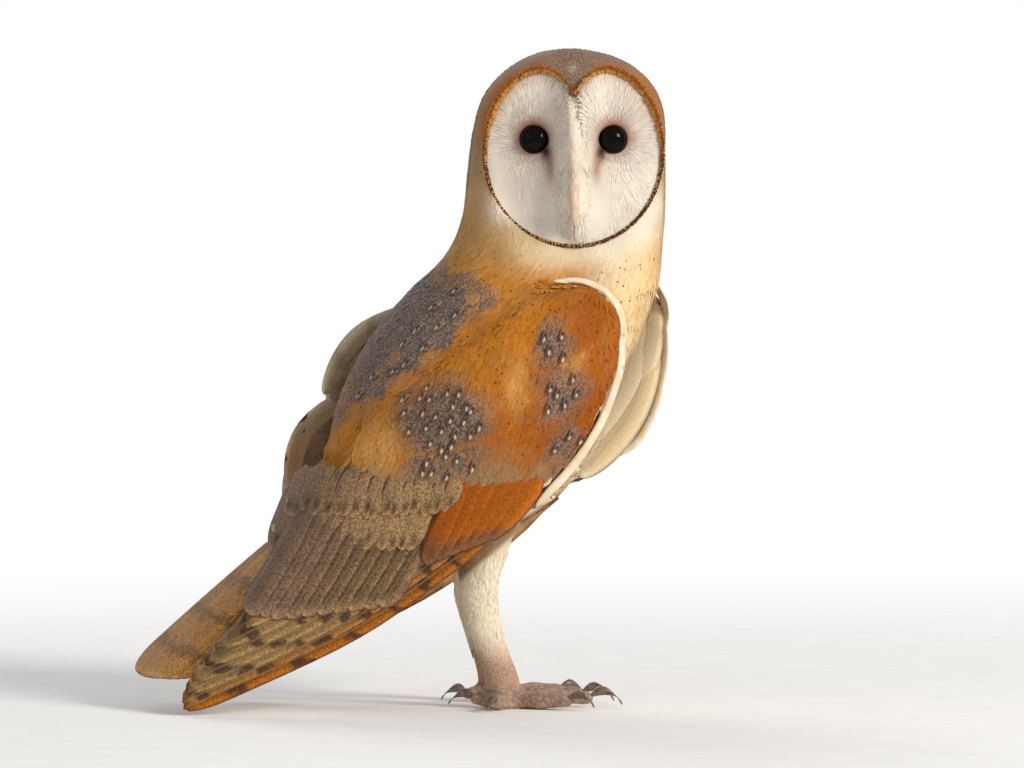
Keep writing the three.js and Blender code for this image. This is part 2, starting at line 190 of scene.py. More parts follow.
def closed_tube(rings):
    """rings (rows, columns, 3) as a tube whose two ends are closed by fans onto their middles."""
    rows, columns = rings.shape[:2]
    places = np.vstack([rings.reshape(-1, 3), rings[0].mean(0), rings[-1].mean(0)])
    start, end = rows * columns, rows * columns + 1
    first = np.arange(columns)
    last = first + (rows - 1) * columns
    fan = np.stack([np.full(columns, start), np.roll(first, -1), first], -1)
    other = np.stack([np.full(columns, end), last, np.roll(last, -1)], -1)
    faces = np.vstack([grid_faces(rows, columns, True), fan, other])
    return outward(places, faces)


def closed_ring(rings):
    """rings (rows, columns, 3) as a ring: the last row is joined to the first."""
    rows, columns = rings.shape[:2]
    return outward(rings.reshape(-1, 3), grid_faces(rows + 1, columns, True) % (rows * columns))


def outward(places, faces):
    """The closed surface with its faces pointing out, by the sign of the volume that it holds."""
    a, b, c = (places[faces[:, k]] for k in range(3))
    volume = np.einsum("ij,ij->", a - places.mean(0), np.cross(b - a, c - a))
    return places, (faces if volume > 0 else faces[:, ::-1])


def joined(parts):
    """Several (places, faces) as one."""
    counts = np.cumsum([0] + [len(places) for places, _ in parts])
    return (np.vstack([places for places, _ in parts]),
            np.vstack([faces + start for (_, faces), start in zip(parts, counts)]))


def make_mesh(name, places, faces):
    """A smooth-shaded mesh of triangles from arrays, in metres."""
    mesh = bpy.data.meshes.new(name)
    mesh.vertices.add(len(places))
    mesh.vertices.foreach_set("co", (places * MM).astype(np.float32).ravel())
    mesh.loops.add(faces.size)
    mesh.loops.foreach_set("vertex_index", faces.astype(np.int32).ravel())
    mesh.polygons.add(len(faces))
    mesh.polygons.foreach_set("loop_start", np.arange(0, faces.size, 3, dtype=np.int32))
    mesh.update(calc_edges=True)
    mesh.polygons.foreach_set("use_smooth", np.ones(len(faces), bool))
    return mesh


def set_colour(mesh, name, values):
    """A colour attribute on the vertices."""
    filled = np.ones((len(mesh.vertices), 4), np.float32)
    filled[:, :3] = values
    mesh.attributes.new(name, "FLOAT_COLOR", "POINT").data.foreach_set("color", filled.ravel())


def set_uv(mesh, name, corners):
    """A UV map from one pair for each face corner."""
    layer = mesh.uv_layers.new(name=name)
    layer.data.foreach_set("uv", corners.astype(np.float32).ravel())


def add_piece(name, mesh, material, nodes=()):
    """The mesh as a piece that rides on the owl's one body and stands for the CAD nodes named."""
    piece = bpy.data.objects.new(name, mesh)
    bpy.context.scene.collection.objects.link(piece)
    mesh.materials.append(material)
    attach(piece, "root")
    if nodes:
        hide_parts(*nodes)
    return piece


# ---- Places over the wings, the face and the tail ----------------------------------------------


def flank(x, z):
    """How far the trunk reaches to the side at a place in its side view: a superellipse about the
    nearest point of its centreline."""
    rows = through(TRUNK, np.linspace(0, 1, 81))
    miss = np.hypot(x[..., None] - rows[:, 0], z[..., None] - rows[:, 1])
    nearest = miss.argmin(-1)
    cx, cz, ahead, behind, side = np.moveaxis(rows[nearest], -1, 0)
    reach = np.where(x - cx > (z - cz) * 0.7, ahead, behind)
    return side * np.clip(1 - (miss.min(-1) / reach) ** 2.2, 0, 1) ** (1 / 2.2)


def wing_axes(wing):
    """The wing's chord and the direction to its leading edge, as unit vectors in x and z, and its
    span."""
    chord = np.subtract(wing["tip"], wing["bend"]).astype(float)
    span = np.linalg.norm(chord)
    chord /= span
    return chord, np.array([-chord[1], chord[0]]), span


def wing_coordinates(wing, x, z):
    """(down, reach) of places in the side view: along the chord from the bend, and across it
    towards the leading edge."""
    chord, lead, _ = wing_axes(wing)
    dx, dz = x - wing["bend"][0], z - wing["bend"][1]
    return dx * chord[0] + dz * chord[1], dx * lead[0] + dz * lead[1]


def row_line(down, reach):
    """How far a place lies from the wing's bend, at right angles to its slanting rows of coverts."""
    return 0.7235 * down + 0.69 * reach


def wing_limits(wing, down):
    """The wing's rows of stations at a distance down the chord, the middle of its rounded bend, and
    its reach to both edges."""
    span = wing_axes(wing)[2]
    row = through(wing["stations"], down / span)
    end = round_end((down + WING_BEND_OFFSET) / (WING_BEND_OFFSET + 0.05 * span), 1)
    return row, WING_BEND_OFFSET * (1 - end), row[..., 0] * end, row[..., 1] * end


def wing_place(wing, down, reach, level, height):
    """A place on the wing. level goes from -1 on the blade's inner face to 1 on its outer face,
    and height is added outwards. The blade keeps outside the flank, and both its edges curl in."""
    chord, lead_way, span = wing_axes(wing)
    row, middle_reach, lead, trail = wing_limits(wing, down)
    offset = reach - middle_reach
    c = offset / np.maximum(np.where(offset > 0, lead, trail), 1)
    share = np.clip(down / span, 0, 1)
    curl = np.where(offset > 0, WING_LEAD_CURL * (1 - share), row[..., 3] - row[..., 4])
    x = wing["bend"][0] + chord[0] * down + lead_way[0] * reach
    z = wing["bend"][1] + chord[1] * down + lead_way[1] * reach
    middle = np.maximum(row[..., 3] - curl * np.minimum(c * c, 1.3), flank(x, z) + row[..., 2] / 2)
    half = row[..., 2] / 2 * np.clip(1 - c * c, 0, 1) ** 0.375
    return np.stack([x, MIDLINE + wing["side"] * (middle + level * half + height), z], -1)


def heart(angle):
    """The radius of the face's outline at an angle up from the chin: a circle with two lobes and a
    notch between them."""
    up = np.degrees(angle)
    lobes = DISC["lobe"] * bell(up - 147, 34)
    notch = DISC["notch"] * bell(up - 180, 13)
    return DISC["radius"] + lobes - notch + 1.2 * np.cos(angle)


def face_share(across, up):
    """How far out in the face a place lies: 0 in its middle and 1 on its outline."""
    return np.hypot(across, up) / heart(np.arctan2(np.abs(across), -up))


def face_depth(across, up):
    """How far forward of the mid-plane the face stands: it falls back to the temples and the brow,
    is dished round each eye, and has a ridge down to the bill."""
    share = np.minimum(face_share(across, up), 1)
    high = np.maximum(0, up / DISC["radius"])
    temple = DISC["temple"] * (across / DISC["radius"]) ** 2
    brow = DISC["brow"] * high**3
    dish = DISC["dish"] * (1 - share**4) * (1 - bell(across, 11))
    pit = DISC["pit"] * bell(np.hypot(np.abs(across) - EYE_ACROSS, up - EYE_UP), 11)
    ridge = (DISC["ridge"] + DISC["cere"] * bell(up + 14, 22)) * bell(across, 6.5 + 5 * high)
    return DISC["chin"] - temple - brow - dish - pit + ridge * (1 - share**5)


def face_place(across, up, height=0.0):
    """A place on the face, height in front of it."""
    return np.stack([DISC["x"] + across, MIDLINE - face_depth(across, up) - height, DISC["z"] + up], -1)


def tail_axes():
    """Unit vectors along the tail, across it to the right, and up from it. It slopes down behind,
    and is turned and rolled so that its top faces -Y."""
    slope, turn, roll = (math.radians(TAIL[k]) for k in ("slope", "turn", "roll"))
    along = Vector((-math.cos(slope) * math.cos(turn), -math.cos(slope) * math.sin(turn), -math.sin(slope)))
    across = Vector((math.sin(turn), -math.cos(turn), 0))
    across.rotate(Matrix.Rotation(-roll, 3, along))
    up = along.cross(across)
    if up.z < 0:
        up.negate()
    return tuple(np.array(v) for v in (along, across, up))


# ---- Markings: a base colour and the shares of the fine patterns, at places in millimetres -----
# The marks are three shares: fine grey mottling, dark specks, and bare skin.


def blob(down, reach, at, half, angle=0.0, soft=0.35):
    """1 inside an ellipse in wing coordinates, fading to 0 past its edge."""
    turn = math.radians(angle)
    a, b = down - at[0], reach - at[1]
    along = (a * math.cos(turn) + b * math.sin(turn)) / half[0]
    across = (b * math.cos(turn) - a * math.sin(turn)) / half[1]
    return 1 - ramp(np.hypot(along, across), 1 - soft, 1 + soft)


def wander(places, size, seed):
    """A smooth random field from -1 to 1: a few sine waves of about that size in millimetres."""
    draw = np.random.default_rng(seed)
    total = 0
    for _ in range(5):
        way = unit(draw.normal(size=3)) * 2 * np.pi / (size * draw.uniform(0.8, 1.6))
        total = total + np.sin(places @ way + draw.uniform(0, 2 * np.pi))
    return total / 3.2


# Grey patches, then pale ones, of a folded wing: where, half length and width, and angle.
GREY_PATCHES = [
    ((94, -8), (25, 19), -44), ((148, -42), (13, 7), 46), ((112, 12), (20, 6), -44),
    ((43, 32), (13, 13), 0), ((27, 8), (12, 9), 40), ((60, 51), (10, 8), 30),
]
PALE_PATCHES = [((52, 9), (13, 5), 46), ((130, -20), (14, 8), 46), ((27, 25), (8, 5), 0)]


def wing_paint(down, reach, places):
    """Colours and marks over the outside of a wing: orange at the bend and along the front, gold
    behind, olive-buff lower down, with grey patches, pale patches and a cream leading edge."""
    down = down + 4 * wander(places, 26, 3) + 2.5 * wander(places, 9, 5)
    reach = reach + 4 * wander(places, 24, 4) + 2.5 * wander(places, 8, 6)
    base = mix(COLOUR["orange"], COLOUR["gold"], ramp(-reach + 8 * wander(places, 20, 7), -24, 14))
    base = mix(base, COLOUR["olive"], 0.35 * ramp(wander(places, 15, 8), 0.1, 0.7))
    base = mix(base, COLOUR["deep_orange"], ramp(reach, 34, 52) * ramp(down, 5, 25) * 0.8)
    base = mix(base, COLOUR["deep_orange"], blob(down, reach, (8, 6), (20, 16)) * 0.45)
    fall = row_line(down, reach)
    base = mix(base, COLOUR["olive"], ramp(fall + 7 * wander(places, 18, 9), 76, 102))
    grey = 0
    for at, half, angle in GREY_PATCHES:
        grey = np.maximum(grey, blob(down, reach, at, half, angle))
    for at, half, angle in PALE_PATCHES:
        base = mix(base, COLOUR["pale_patch"], blob(down, reach, at, half, angle, 0.8) * 0.85)
    grey = np.maximum(grey, 0.45 * ramp(fall, 92, 106))
    base = mix(base, COLOUR["wing_grey"], grey * (1 - 0.4 * ramp(fall, 92, 106)))
    speck = (1 - grey) * (1 - ramp(fall, 80, 95)) * 0.8
    return base, np.stack([grey, speck, 0 * grey], -1)


def mantle_share(places):
    """1 on the back between the wings, 0 on the neck, the breast and the belly."""
    down, reach = wing_coordinates(WINGS["right"], places[:, 0], places[:, 2])
    start = 26 + 0.28 * (-29 - reach) + 5 * wander(places, 17, 12)
    lower = 22 + 0.14 * np.clip(down, 0, 150) + 4 * wander(places, 15, 13)
    return ramp(down - start, -6, 7) * ramp(-reach - lower, -6, 6) * ramp(places[:, 2], 70, 84)


def body_paint(places, normals):
    """Colours and marks over the head, neck, trunk and legs."""
    x, y, z = places.T
    across, up, forward = x - DISC["x"], z - DISC["z"], MIDLINE - y
    out = (face_share(across, up) - 1) * DISC["radius"]
    drift = 3 * wander(places, 30, 11)
    before = ramp(normals[:, 0], -0.35, 0.5)
    # Neck and head: ochre at the sides and the nape, cream before, white under the face, with
    # painted light making the lit right side paler and painted shade making the left side darker.
    base = mix(COLOUR["ochre"], COLOUR["buff"], ramp(forward + drift, -8, 26))
    # Cream where the neck faces ahead, left off its left side: painted light on the lit front and right.
    cream = ramp(-normals[:, 1], 0.45, 0.95) * ramp(across + drift, -34, -8) * (1 - ramp(z, 262, 285))
    base = mix(base, COLOUR["cream"], cream * 0.85)
    # Olive where the head and neck face left (-x): painted shade.
    base = mix(base, COLOUR["olive"], ramp(-normals[:, 0], 0.1, 0.9) * ramp(z, 250, 290) * 0.5)
    # More ochre down the left side of the neck: painted shade.
    side = ramp(-across + drift, 24, 42) * ramp(z, 214, 234) * (1 - ramp(z, 262, 285))
    base = mix(base, COLOUR["ochre"], side * 0.7)
    under = (1 - ramp(out + drift, 2, 24)) * ramp(-up, 6, 30) * ramp(forward, 0, 14)
    # The white under the face is the throat's own colour; it is stronger towards the right as painted light
    # on the lit side, and weaker on the left apart from one patch.
    pale = np.maximum(0.3 + 0.7 * ramp(across, -6, 26), bell(np.hypot(across + 36, up + 26), 13))
    base = mix(base, COLOUR["white"], under * pale)
    high = z - 0.012 * across**2 + 0.4 * drift
    base = mix(base, COLOUR["brow"], ramp(z + 0.5 * drift, 288, 318))
    base = mix(base, COLOUR["crown"], 0.5 * ramp(np.abs(across), 34, 46) * ramp(z, 268, 290))
    border = bell(np.maximum(out, 0), 4.5) * ramp(forward, 4, 14)
    crown = ramp(high, 306, 330) * (1 - 0.75 * border)
    base = mix(base, COLOUR["ruff"], 0.55 * border * ramp(up, 0, 20))
    base = mix(base, COLOUR["crown"], crown)
    base = mix(base, COLOUR["white"], 0.5 * bell(np.hypot(across + 0.5, up - 46), 1.7))
    # Breast and belly: buff above, cream and then white lower down.
    breast = ramp(before, 0.2, 0.8) * (1 - ramp(z, 222, 246))
    base = mix(base, COLOUR["cream"], breast * 0.5)
    low = (1 - ramp(z + drift, 120, 205)) * ramp(x + 0.5 * z, 30, 60)
    base = mix(base, COLOUR["white"], low * (1 - mantle_share(places)))
    # Back: grey, with a gold border towards each wing and a paler rump.
    mantle = mantle_share(places)
    base = mix(base, COLOUR["gold"], ramp(mantle, 0.02, 0.3) * (1 - ramp(z, 205, 232)) * 0.8)
    grey = ramp(mantle, 0.3, 0.9) * (1 - 0.7 * ramp(wander(places, 20, 14), 0.4, 0.9))
    base = mix(base, COLOUR["grey"], grey)
    reach = wing_coordinates(WINGS["right"], x, z)[1]
    seam = ramp(-reach, -8, 8) * (1 - ramp(z, 226, 240)) * ramp(z, 84, 100) * (1 - ramp(mantle, 0.2, 0.8))
    base = mix(base, COLOUR["gold"], seam * 0.9)
    rump = ramp(-x, 70, 92) * mantle
    base = mix(base, COLOUR["ochre"], rump * 0.5)
    # Legs: white above, then bare pink-brown skin.
    leg = 1 - ramp(z, 88, 100)
    base = mix(base, mix(COLOUR["white"], COLOUR["cream"], 0.3), leg)
    bare = 1 - ramp(z, 20, 40)
    base = mix(base, COLOUR["pink"], bare)
    base = mix(base, COLOUR["toe"], 1 - ramp(z, 8, 15))
    base = mix(base, COLOUR["pad"], (1 - ramp(z, 1.5, 4.5)) * 0.8)
    grey = np.maximum(np.maximum(grey, crown * 0.6), 1 - ramp(z, 9, 17))
    speck = (1 - grey) * (1 - leg) * (1 - under) * ramp(z, 110, 150) * 0.8
    return base, np.stack([grey, speck, bare], -1)


# ---- The skin ----------------------------------------------------------------------------------


def vertex_normals(places, faces):
    """Normals of the vertices, weighted by the areas of the faces round them."""
    a, b, c = (places[faces[:, k]] for k in range(3))
    cross = np.cross(b - a, c - a)
    total = np.zeros_like(places)
    for axis in range(3):
        for k in range(3):
            total[:, axis] += np.bincount(faces[:, k], cross[:, axis], len(places))
    return unit(total)


def relaxed(values, edges, strength, times):
    """Values on vertices, moved towards the mean of their neighbours' by strength, times over."""
    a, b = edges.T
    count = np.bincount(a, minlength=len(values)) + np.bincount(b, minlength=len(values))
    share = np.broadcast_to(strength, len(values))[:, None] / np.maximum(count, 1)[:, None]
    for _ in range(times):
        total = np.stack([np.bincount(a, column[b], len(column)) + np.bincount(b, column[a], len(column))
                          for column in values.T], -1)
        values = values + share * (total - values * count[:, None])
    return values


def read_mesh(mesh):
    """The places (in millimetres) and triangles of a mesh."""
    places = np.empty(len(mesh.vertices) * 3)
    mesh.vertices.foreach_get("co", places)
    mesh.calc_loop_triangles()
    faces = np.empty(len(mesh.loop_triangles) * 3, np.int32)
    mesh.loop_triangles.foreach_get("vertices", faces)
    return places.reshape(-1, 3) / MM, faces.reshape(-1, 3)


def cad_copy(name, grow):
    """A CAD node's surface, its doubles merged, pushed out by grow along its normals."""
    places, faces = read_mesh(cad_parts[name].data)
    merged, index = np.unique(np.round(places, 3), axis=0, return_inverse=True)
    faces = index.reshape(-1)[faces]
    whole = (faces[:, 0] != faces[:, 1]) & (faces[:, 1] != faces[:, 2]) & (faces[:, 2] != faces[:, 0])
    faces = faces[whole]
    return merged + grow * vertex_normals(merged, faces), faces


def wing_arm(wing):
    """The fleshy part of a wing: its blade from the bend to half way down, rounded off at its end,
    as rings round the blade."""
    span = wing_axes(wing)[2]
    step = np.linspace(0.01, 1, 48)[:, None]
    turn = np.linspace(0, 2 * np.pi, 64, endpoint=False)[None]
    down = step * (0.52 * span + WING_BEND_OFFSET) - WING_BEND_OFFSET + 0 * turn
    _, middle, lead, trail = wing_limits(wing, down)
    end = round_end(1 - step, 0.25)
    c = np.cos(turn) * (0.35 + 0.65 * end)
    reach = middle + np.where(c > 0, lead, trail) * c * 0.97
    level = np.sign(np.sin(turn)) * np.abs(np.sin(turn)) ** 0.5 * end
    return closed_tube(wing_place(wing, down, reach, level, 0 * down))


def toe_frame(toe, side):
    """Sends places in a toe's own frame (out along it, across it, up) to the owl's frame."""
    turn = math.radians(toe["heading"])
    ahead = math.cos(turn), -side * math.sin(turn)
    x, y = FEET["left" if side > 0 else "right"]
    return lambda out, over, up: np.stack(
        [x + ahead[0] * out - ahead[1] * over, y + ahead[1] * out + ahead[0] * over, up + 0 * out], -1)


def toe_flesh(toe, side):
    """A toe: rings along a low arch, swollen at its pads below, and pinched between its scutes
    above, flattened where it meets the floor."""
    step = np.linspace(0.004, 1, 40)[:, None]
    turn = np.linspace(0, 2 * np.pi, 24, endpoint=False)[None]
    pads = 1 + 0.17 * np.cos(step * 4 * np.pi) * (0.75 - 0.25 * np.sin(turn))
    scutes = 1 + 0.018 * np.cos(step * toe["length"] * 2 * np.pi / 2.6) * ramp(np.sin(turn), 0, 0.7)
    taper = (1.12 - 0.28 * step) * round_end(step, 0.12) * round_end(1.02 - step, 0.2)
    radius = toe["radius"] * 1.02 * taper * pads * scutes
    out = TOE_START - 2 + (toe["length"] + 2) * step + 0 * turn
    up = toe["radius"] * 0.86 + np.sin(np.pi * step) * 0.8 + CLAW["lift"] * step**2 + radius * np.sin(turn)
    rings = toe_frame(toe, side)(out, radius * np.cos(turn), np.maximum(up, 0.0))
    return closed_tube(rings)


def coat_depth(places):
    """How far the skin lies inside the feathers: deepest on the trunk, least on the feet."""
    x, y, z = places.T
    across, up = x - DISC["x"], z - DISC["z"]
    face = (1 - ramp(face_share(across, up), 0.9, 1.0)) * ramp(MIDLINE - y, 12, 18)
    depth = 1.7 + 0.6 * ramp(250 - z, -10, 20)
    depth = depth * (1 - face) + 0.9 * face
    winged = np.maximum(*(wing_share(places, wing, 4.0) for wing in WINGS.values()))
    depth = depth * (1 - winged) + 1.3 * winged
    low = 0.12 + 0.8 * ramp(z, 22, 60)
    return low + (depth - low) * ramp(z, 50, 90)


# The size of the skin's voxels, which keeps it under 200,000 triangles, and the nodes of flesh.
VOXEL = 1.68
FLESH = ["head", "facial_disc", "neck", "trunk"]
FLESH += [f"{part}_{side}" for part in ("thigh", "tarsus") for side in SIDES]


def grow_skin():
    """One watertight skin: copies of the fleshy nodes, the toes and the wing arms, fused by a voxel
    remesh, relaxed until no facet or joint shows, and drawn in by the depth of the coat."""
    parts = [cad_copy(name, 0.45) for name in FLESH]
    parts += [toe_flesh(toe, side) for toe in TOES.values() for side in SIDES.values()]
    parts += [wing_arm(wing) for wing in WINGS.values()]
    raw = bpy.data.objects.new("raw", make_mesh("raw", *joined(parts)))
    bpy.context.scene.collection.objects.link(raw)
    remesh = raw.modifiers.new("fuse", "REMESH")
    remesh.mode, remesh.voxel_size = "VOXEL", VOXEL * MM
    fused = bpy.data.meshes.new_from_object(raw.evaluated_get(bpy.context.evaluated_depsgraph_get()))
    places, faces = read_mesh(fused)
    bpy.data.objects.remove(raw)
    bpy.data.meshes.remove(fused)
    edges = np.sort(np.vstack([faces[:, [0, 1]], faces[:, [1, 2]], faces[:, [2, 0]]]), 1)
    edges = np.unique(edges, axis=0)
    # All of it is relaxed, least the feet; then the seam where the back runs under the right wing,
    # and the collar under the face.
    z = places[:, 2]
    calm = 0.12 + 0.5 * ramp(z, 14, 60)
    places = relaxed(places, edges, calm, 10)
    down, reach = wing_coordinates(WINGS["right"], places[:, 0], z)
    seam = ramp(-reach, 0, 14) * ramp(down, -6, 12) * ramp(z, 90, 130)
    places = relaxed(places, edges, 0.6 * seam, 110)
    across, up = places[:, 0] - DISC["x"], z - DISC["z"]
    out = (face_share(across, up) - 1) * DISC["radius"]
    collar = bell(out - 7, 6) * ramp(-up, 0, 20) * ramp(MIDLINE - places[:, 1], 0, 12) * ramp(out, 0.5, 2.5)
    places = relaxed(places, edges, 0.6 * collar, 50)
    normals = vertex_normals(places, faces)
    places = places - normals * coat_depth(places)[:, None]
    places[:, 2] = np.maximum(places[:, 2], 0.0)
    normals = vertex_normals(places, faces)
    return {"places": places, "faces": faces, "normals": relaxed(normals, edges, 0.5, 8), "edges": edges,
            "replaced": FLESH + [f"toe_{toe}_{side}" for toe in TOES for side in SIDES]}


def unwrap(piece):
    """An OFBake map on the skin by projecting it from the directions of its own parts."""
    bpy.context.view_layer.objects.active = piece
    piece.select_set(True)
    piece.data.uv_layers.new(name="OFBake")
    bpy.ops.object.mode_set(mode="EDIT")
    bpy.ops.mesh.select_all(action="SELECT")
    bpy.ops.uv.smart_project(angle_limit=1.15, island_margin=0.004)
    bpy.ops.object.mode_set(mode="OBJECT")
    corners = np.empty(len(piece.data.loops) * 2)
    piece.data.uv_layers["OFBake"].data.foreach_get("uv", corners)
    return corners.reshape(-1, 3, 2)


def interleaved(places):
    """An order of places that keeps neighbours together: the bits of their coordinates in turn."""
    cell = ((places - places.min(0)) / 0.5).astype(np.int64)
    key = np.zeros(len(places), np.int64)
    for bit in range(11):
        for axis in range(3):
            key |= ((cell[:, axis] >> bit) & 1) << (3 * bit + axis)
    return np.argsort(key)


def measure(skin):
    """Adds to the skin its triangles' middles, normals and areas, how their normals turn along
    each axis, and an order that keeps neighbours together."""
    faces = skin["faces"]
    a, b, c = (skin["places"][faces[:, k]] for k in range(3))
    cross = np.cross(b - a, c - a)
    double = np.maximum(np.linalg.norm(cross, axis=1), 1e-9)
    flat = cross / double[:, None]
    slopes = [np.cross(flat, edge) / double[:, None] for edge in (c - b, a - c, b - a)]
    turned = [skin["normals"][faces[:, k]] for k in range(3)]
    skin["bend"] = sum(slope[:, :, None] * normal[:, None, :] for slope, normal in zip(slopes, turned))
    skin["middle"] = (a + b + c) / 3
    skin["normal"] = unit(sum(turned))
    skin["area"] = double / 2
    skin["order"] = interleaved(skin["middle"])


def spread(skin, density, seed):
    """Roots spread evenly over the skin: along the ordered triangles, one root for each whole step
    of area times density. Returns their places, normals, how the normals turn along each axis, and
    their OFBake places."""
    draw = np.random.default_rng(seed)
    order = skin["order"]
    total = np.cumsum((skin["area"] * density)[order])
    picks = order[np.searchsorted(total, np.arange(draw.uniform(0, 1), total[-1]))]
    a, b = draw.random((2, len(picks)))
    root = np.sqrt(a)
    shares = np.stack([1 - root, root * (1 - b), root * b], -1)[:, :, None]
    corners = skin["faces"][picks]
    return ((skin["places"][corners] * shares).sum(1), unit((skin["normals"][corners] * shares).sum(1)),
            skin["bend"][picks], (skin["uv"][picks] * shares).sum(1))


# ---- Tufts: thin closed vanes of 24 triangles --------------------------------------------------

TUFT_ALONG = np.array([0.0] + [0.28] * 4 + [0.6] * 4 + [0.86] * 4 + [1.0])
TUFT_WIDE = np.array([0.0] + [0.9] * 4 + [1.0] * 4 + [0.66] * 4 + [0.0])
TUFT_SIDE = np.array([0.0] + [-1, 0, 1, 0] * 3 + [0.0])
TUFT_RISE = np.array([0.0] + [0, 1, 0, -0.5] * 3 + [0.0])
TUFT_PATCH = 0.003


def tuft_template():
    """The triangles of a tuft and the places of their corners on its own patch: two ends and three
    rings, each of a left, a top, a right and a bottom vertex."""
    ring = 1 + np.arange(12).reshape(3, 4)
    nxt = np.roll(ring, -1, 1)
    first = np.stack([np.zeros(4, int), nxt[0], ring[0]], -1)
    last = np.stack([np.full(4, 13), ring[2], nxt[2]], -1)
    sides = np.stack([ring[:-1], nxt[:-1], nxt[1:], ring[:-1], nxt[1:], ring[1:]], -1).reshape(-1, 3)
    faces = np.vstack([first[:, ::-1], sides[:, ::-1], last[:, ::-1]])
    v = TUFT_ALONG[faces]
    u = np.where((faces > 0) & (faces < 13), (faces - 1) % 4, np.nan) / 4.0
    high = np.nanmax(u, 1, keepdims=True) > 0.6
    u = np.where(high & (u < 0.1), 1.0, u)
    u = np.where(np.isnan(u), np.nanmean(u, 1, keepdims=True), u)
    return faces, np.stack([u, v], -1)


TUFT_FACES, TUFT_CORNERS = tuft_template()


def tuft_places(root, way, across, normal, out, side, up):
    """The vertices of tufts: from each root, out along its way, side across it, and up from it."""
    return (root[:, None] + way[:, None] * out[..., None] + across[:, None] * side[..., None]
            + normal[:, None] * up[..., None])


def whole_tufts(places, tints, marks, patch, shading):
    """Tufts as flat arrays: places, triangles, tints, marks, OFBake corners and shading normals.
    Each has its own small square of the OFBake map, by its patch."""
    faces = (np.arange(len(places)) * len(TUFT_ALONG))[:, None, None] + TUFT_FACES[None]
    corners = patch[:, None, None] + (TUFT_CORNERS - 0.5) * TUFT_PATCH
    flat = [values.reshape(-1, 3) for values in (places, faces, tints, marks)]
    return (*flat, corners.reshape(-1, 2), shading.reshape(-1, 3))


def swung(way, across, angle):
    """Two crossed directions, turned in their own plane by an angle."""
    return (way * np.cos(angle) + across * np.sin(angle),
            across * np.cos(angle) - way * np.sin(angle))


def lay_tufts(roots, lie, length, width, rise, paint, seed, sway=0.14, swing=0.14, sink=0.25):
    """Tufts from roots. A root's tuft runs along the lie laid into the skin there, is length
    long and width wide, falls away as the skin does (its normal's turn along the tuft, times the
    square of the distance, halved), and its tip stands rise above the skin. It is shorter where the
    skin turns sharply. Each is swung a little round its root and swayed sideways, and shaded
    softly, by the skin's normal turned a little."""
    draw = np.random.default_rng(seed + 1)
    root, normal, slopes, patch = roots
    count = len(root)
    way = lie(root, normal)
    way = way - normal * (way * normal).sum(1, keepdims=True)
    way = unit(way)
    across = np.cross(normal, way)
    way, across = swung(way, across, draw.normal(0, swing, count)[:, None])
    bend = np.einsum("ij,ijk->ik", way, slopes)
    bend = (bend * way).sum(1)
    long = length(root, normal) * draw.uniform(0.85, 1.15, count) * (1 - 0.55 * ramp(bend, 0.07, 0.24))
    bend = np.clip(bend, -0.045, 0.14)
    wide = width(root, normal) * draw.uniform(0.85, 1.15, count)
    tall = rise(root, normal) * draw.uniform(0.85, 1.12, count)
    v = TUFT_ALONG[None]
    out = long[:, None] * v
    side = wide[:, None] / 2 * TUFT_WIDE * TUFT_SIDE + draw.normal(0, sway, count)[:, None] * out * v
    up = tall[:, None] * (1.5 * v - 0.5 * v * v) - sink - bend[:, None] * out**2 / 2
    up = up + TUFT_RISE * TUFT_WIDE * wide[:, None] * 0.11
    places = tuft_places(root, way, across, normal, out, side, up)
    share = np.broadcast_to(0.15 + 0.7 * v, side.shape)
    tints, marks = (mix(a[:, None], b[:, None], share)
                    for a, b in zip(paint(root, normal), paint(root + way * long[:, None], normal)))
    shading = shaded_softly(normal, way, across, draw)
    # Each tuft's tone differs a little at random, and it is painted darker towards its root: painted shade
    # under the tufts that lie over it.
    light = draw.normal(1, 0.05, count)[:, None] * (0.9 + 0.12 * v)
    return whole_tufts(places, tints * light[..., None], marks, patch, shading)


def shaded_softly(normal, way, across, draw):
    """Shading normals of tufts: the skin's normal, tipped a little at random for each tuft, fanned
    out to its two edges, and turned over on its underside."""
    tip = draw.normal(0, 0.09, (2, len(normal), 1))
    middle = unit(normal + way * tip[0] + across * tip[1])
    return (middle[:, None] * np.where(TUFT_RISE < 0, -1.0, 1.0)[:, None]
            + across[:, None] * (TUFT_SIDE * 0.35)[:, None])


def coat(name, material, nodes, parts):
    """Layers of tufts as one piece."""
    places, faces = joined([part[:2] for part in parts])
    mesh = make_mesh(name, places, faces)
    for index, label in ((2, "tint"), (3, "mark")):
        set_colour(mesh, label, np.vstack([part[index] for part in parts]))
    set_uv(mesh, "OFBake", np.vstack([part[4] for part in parts]))
    mesh.normals_split_custom_set_from_vertices(unit(np.vstack([part[5] for part in parts])))
    return add_piece(name, mesh, material, nodes)


# ---- Flight feathers: closed vanes, each with a shaft, laid along a curve ----------------------


def tube_corners(faces, rows, columns):
    """The (round, along) places, from 0 to 1, of the corners of a closed tube's triangles."""
    ring = faces < rows * columns
    along = np.where(ring, faces // columns / (rows - 1), (faces - rows * columns).astype(float))
    turn = np.where(ring, faces % columns, np.nan)
    wraps = np.nanmax(turn, 1, keepdims=True) - np.nanmin(turn, 1, keepdims=True) > columns / 2
    turn = np.where(wraps & (turn < columns / 2), turn + columns, turn)
    turn = np.where(np.isnan(turn), np.nanmean(turn, 1, keepdims=True), turn)
    return np.stack([turn / columns, along], -1)


VANE_ROWS = 20
VANE_U = np.array([-1, -0.62, -0.25, 0, 0.25, 0.62, 1, 0.55, 0, -0.55])
VANE_TOP = np.array([1, 1, 1, 1, 1, 1, 1, -1, -1, -1])


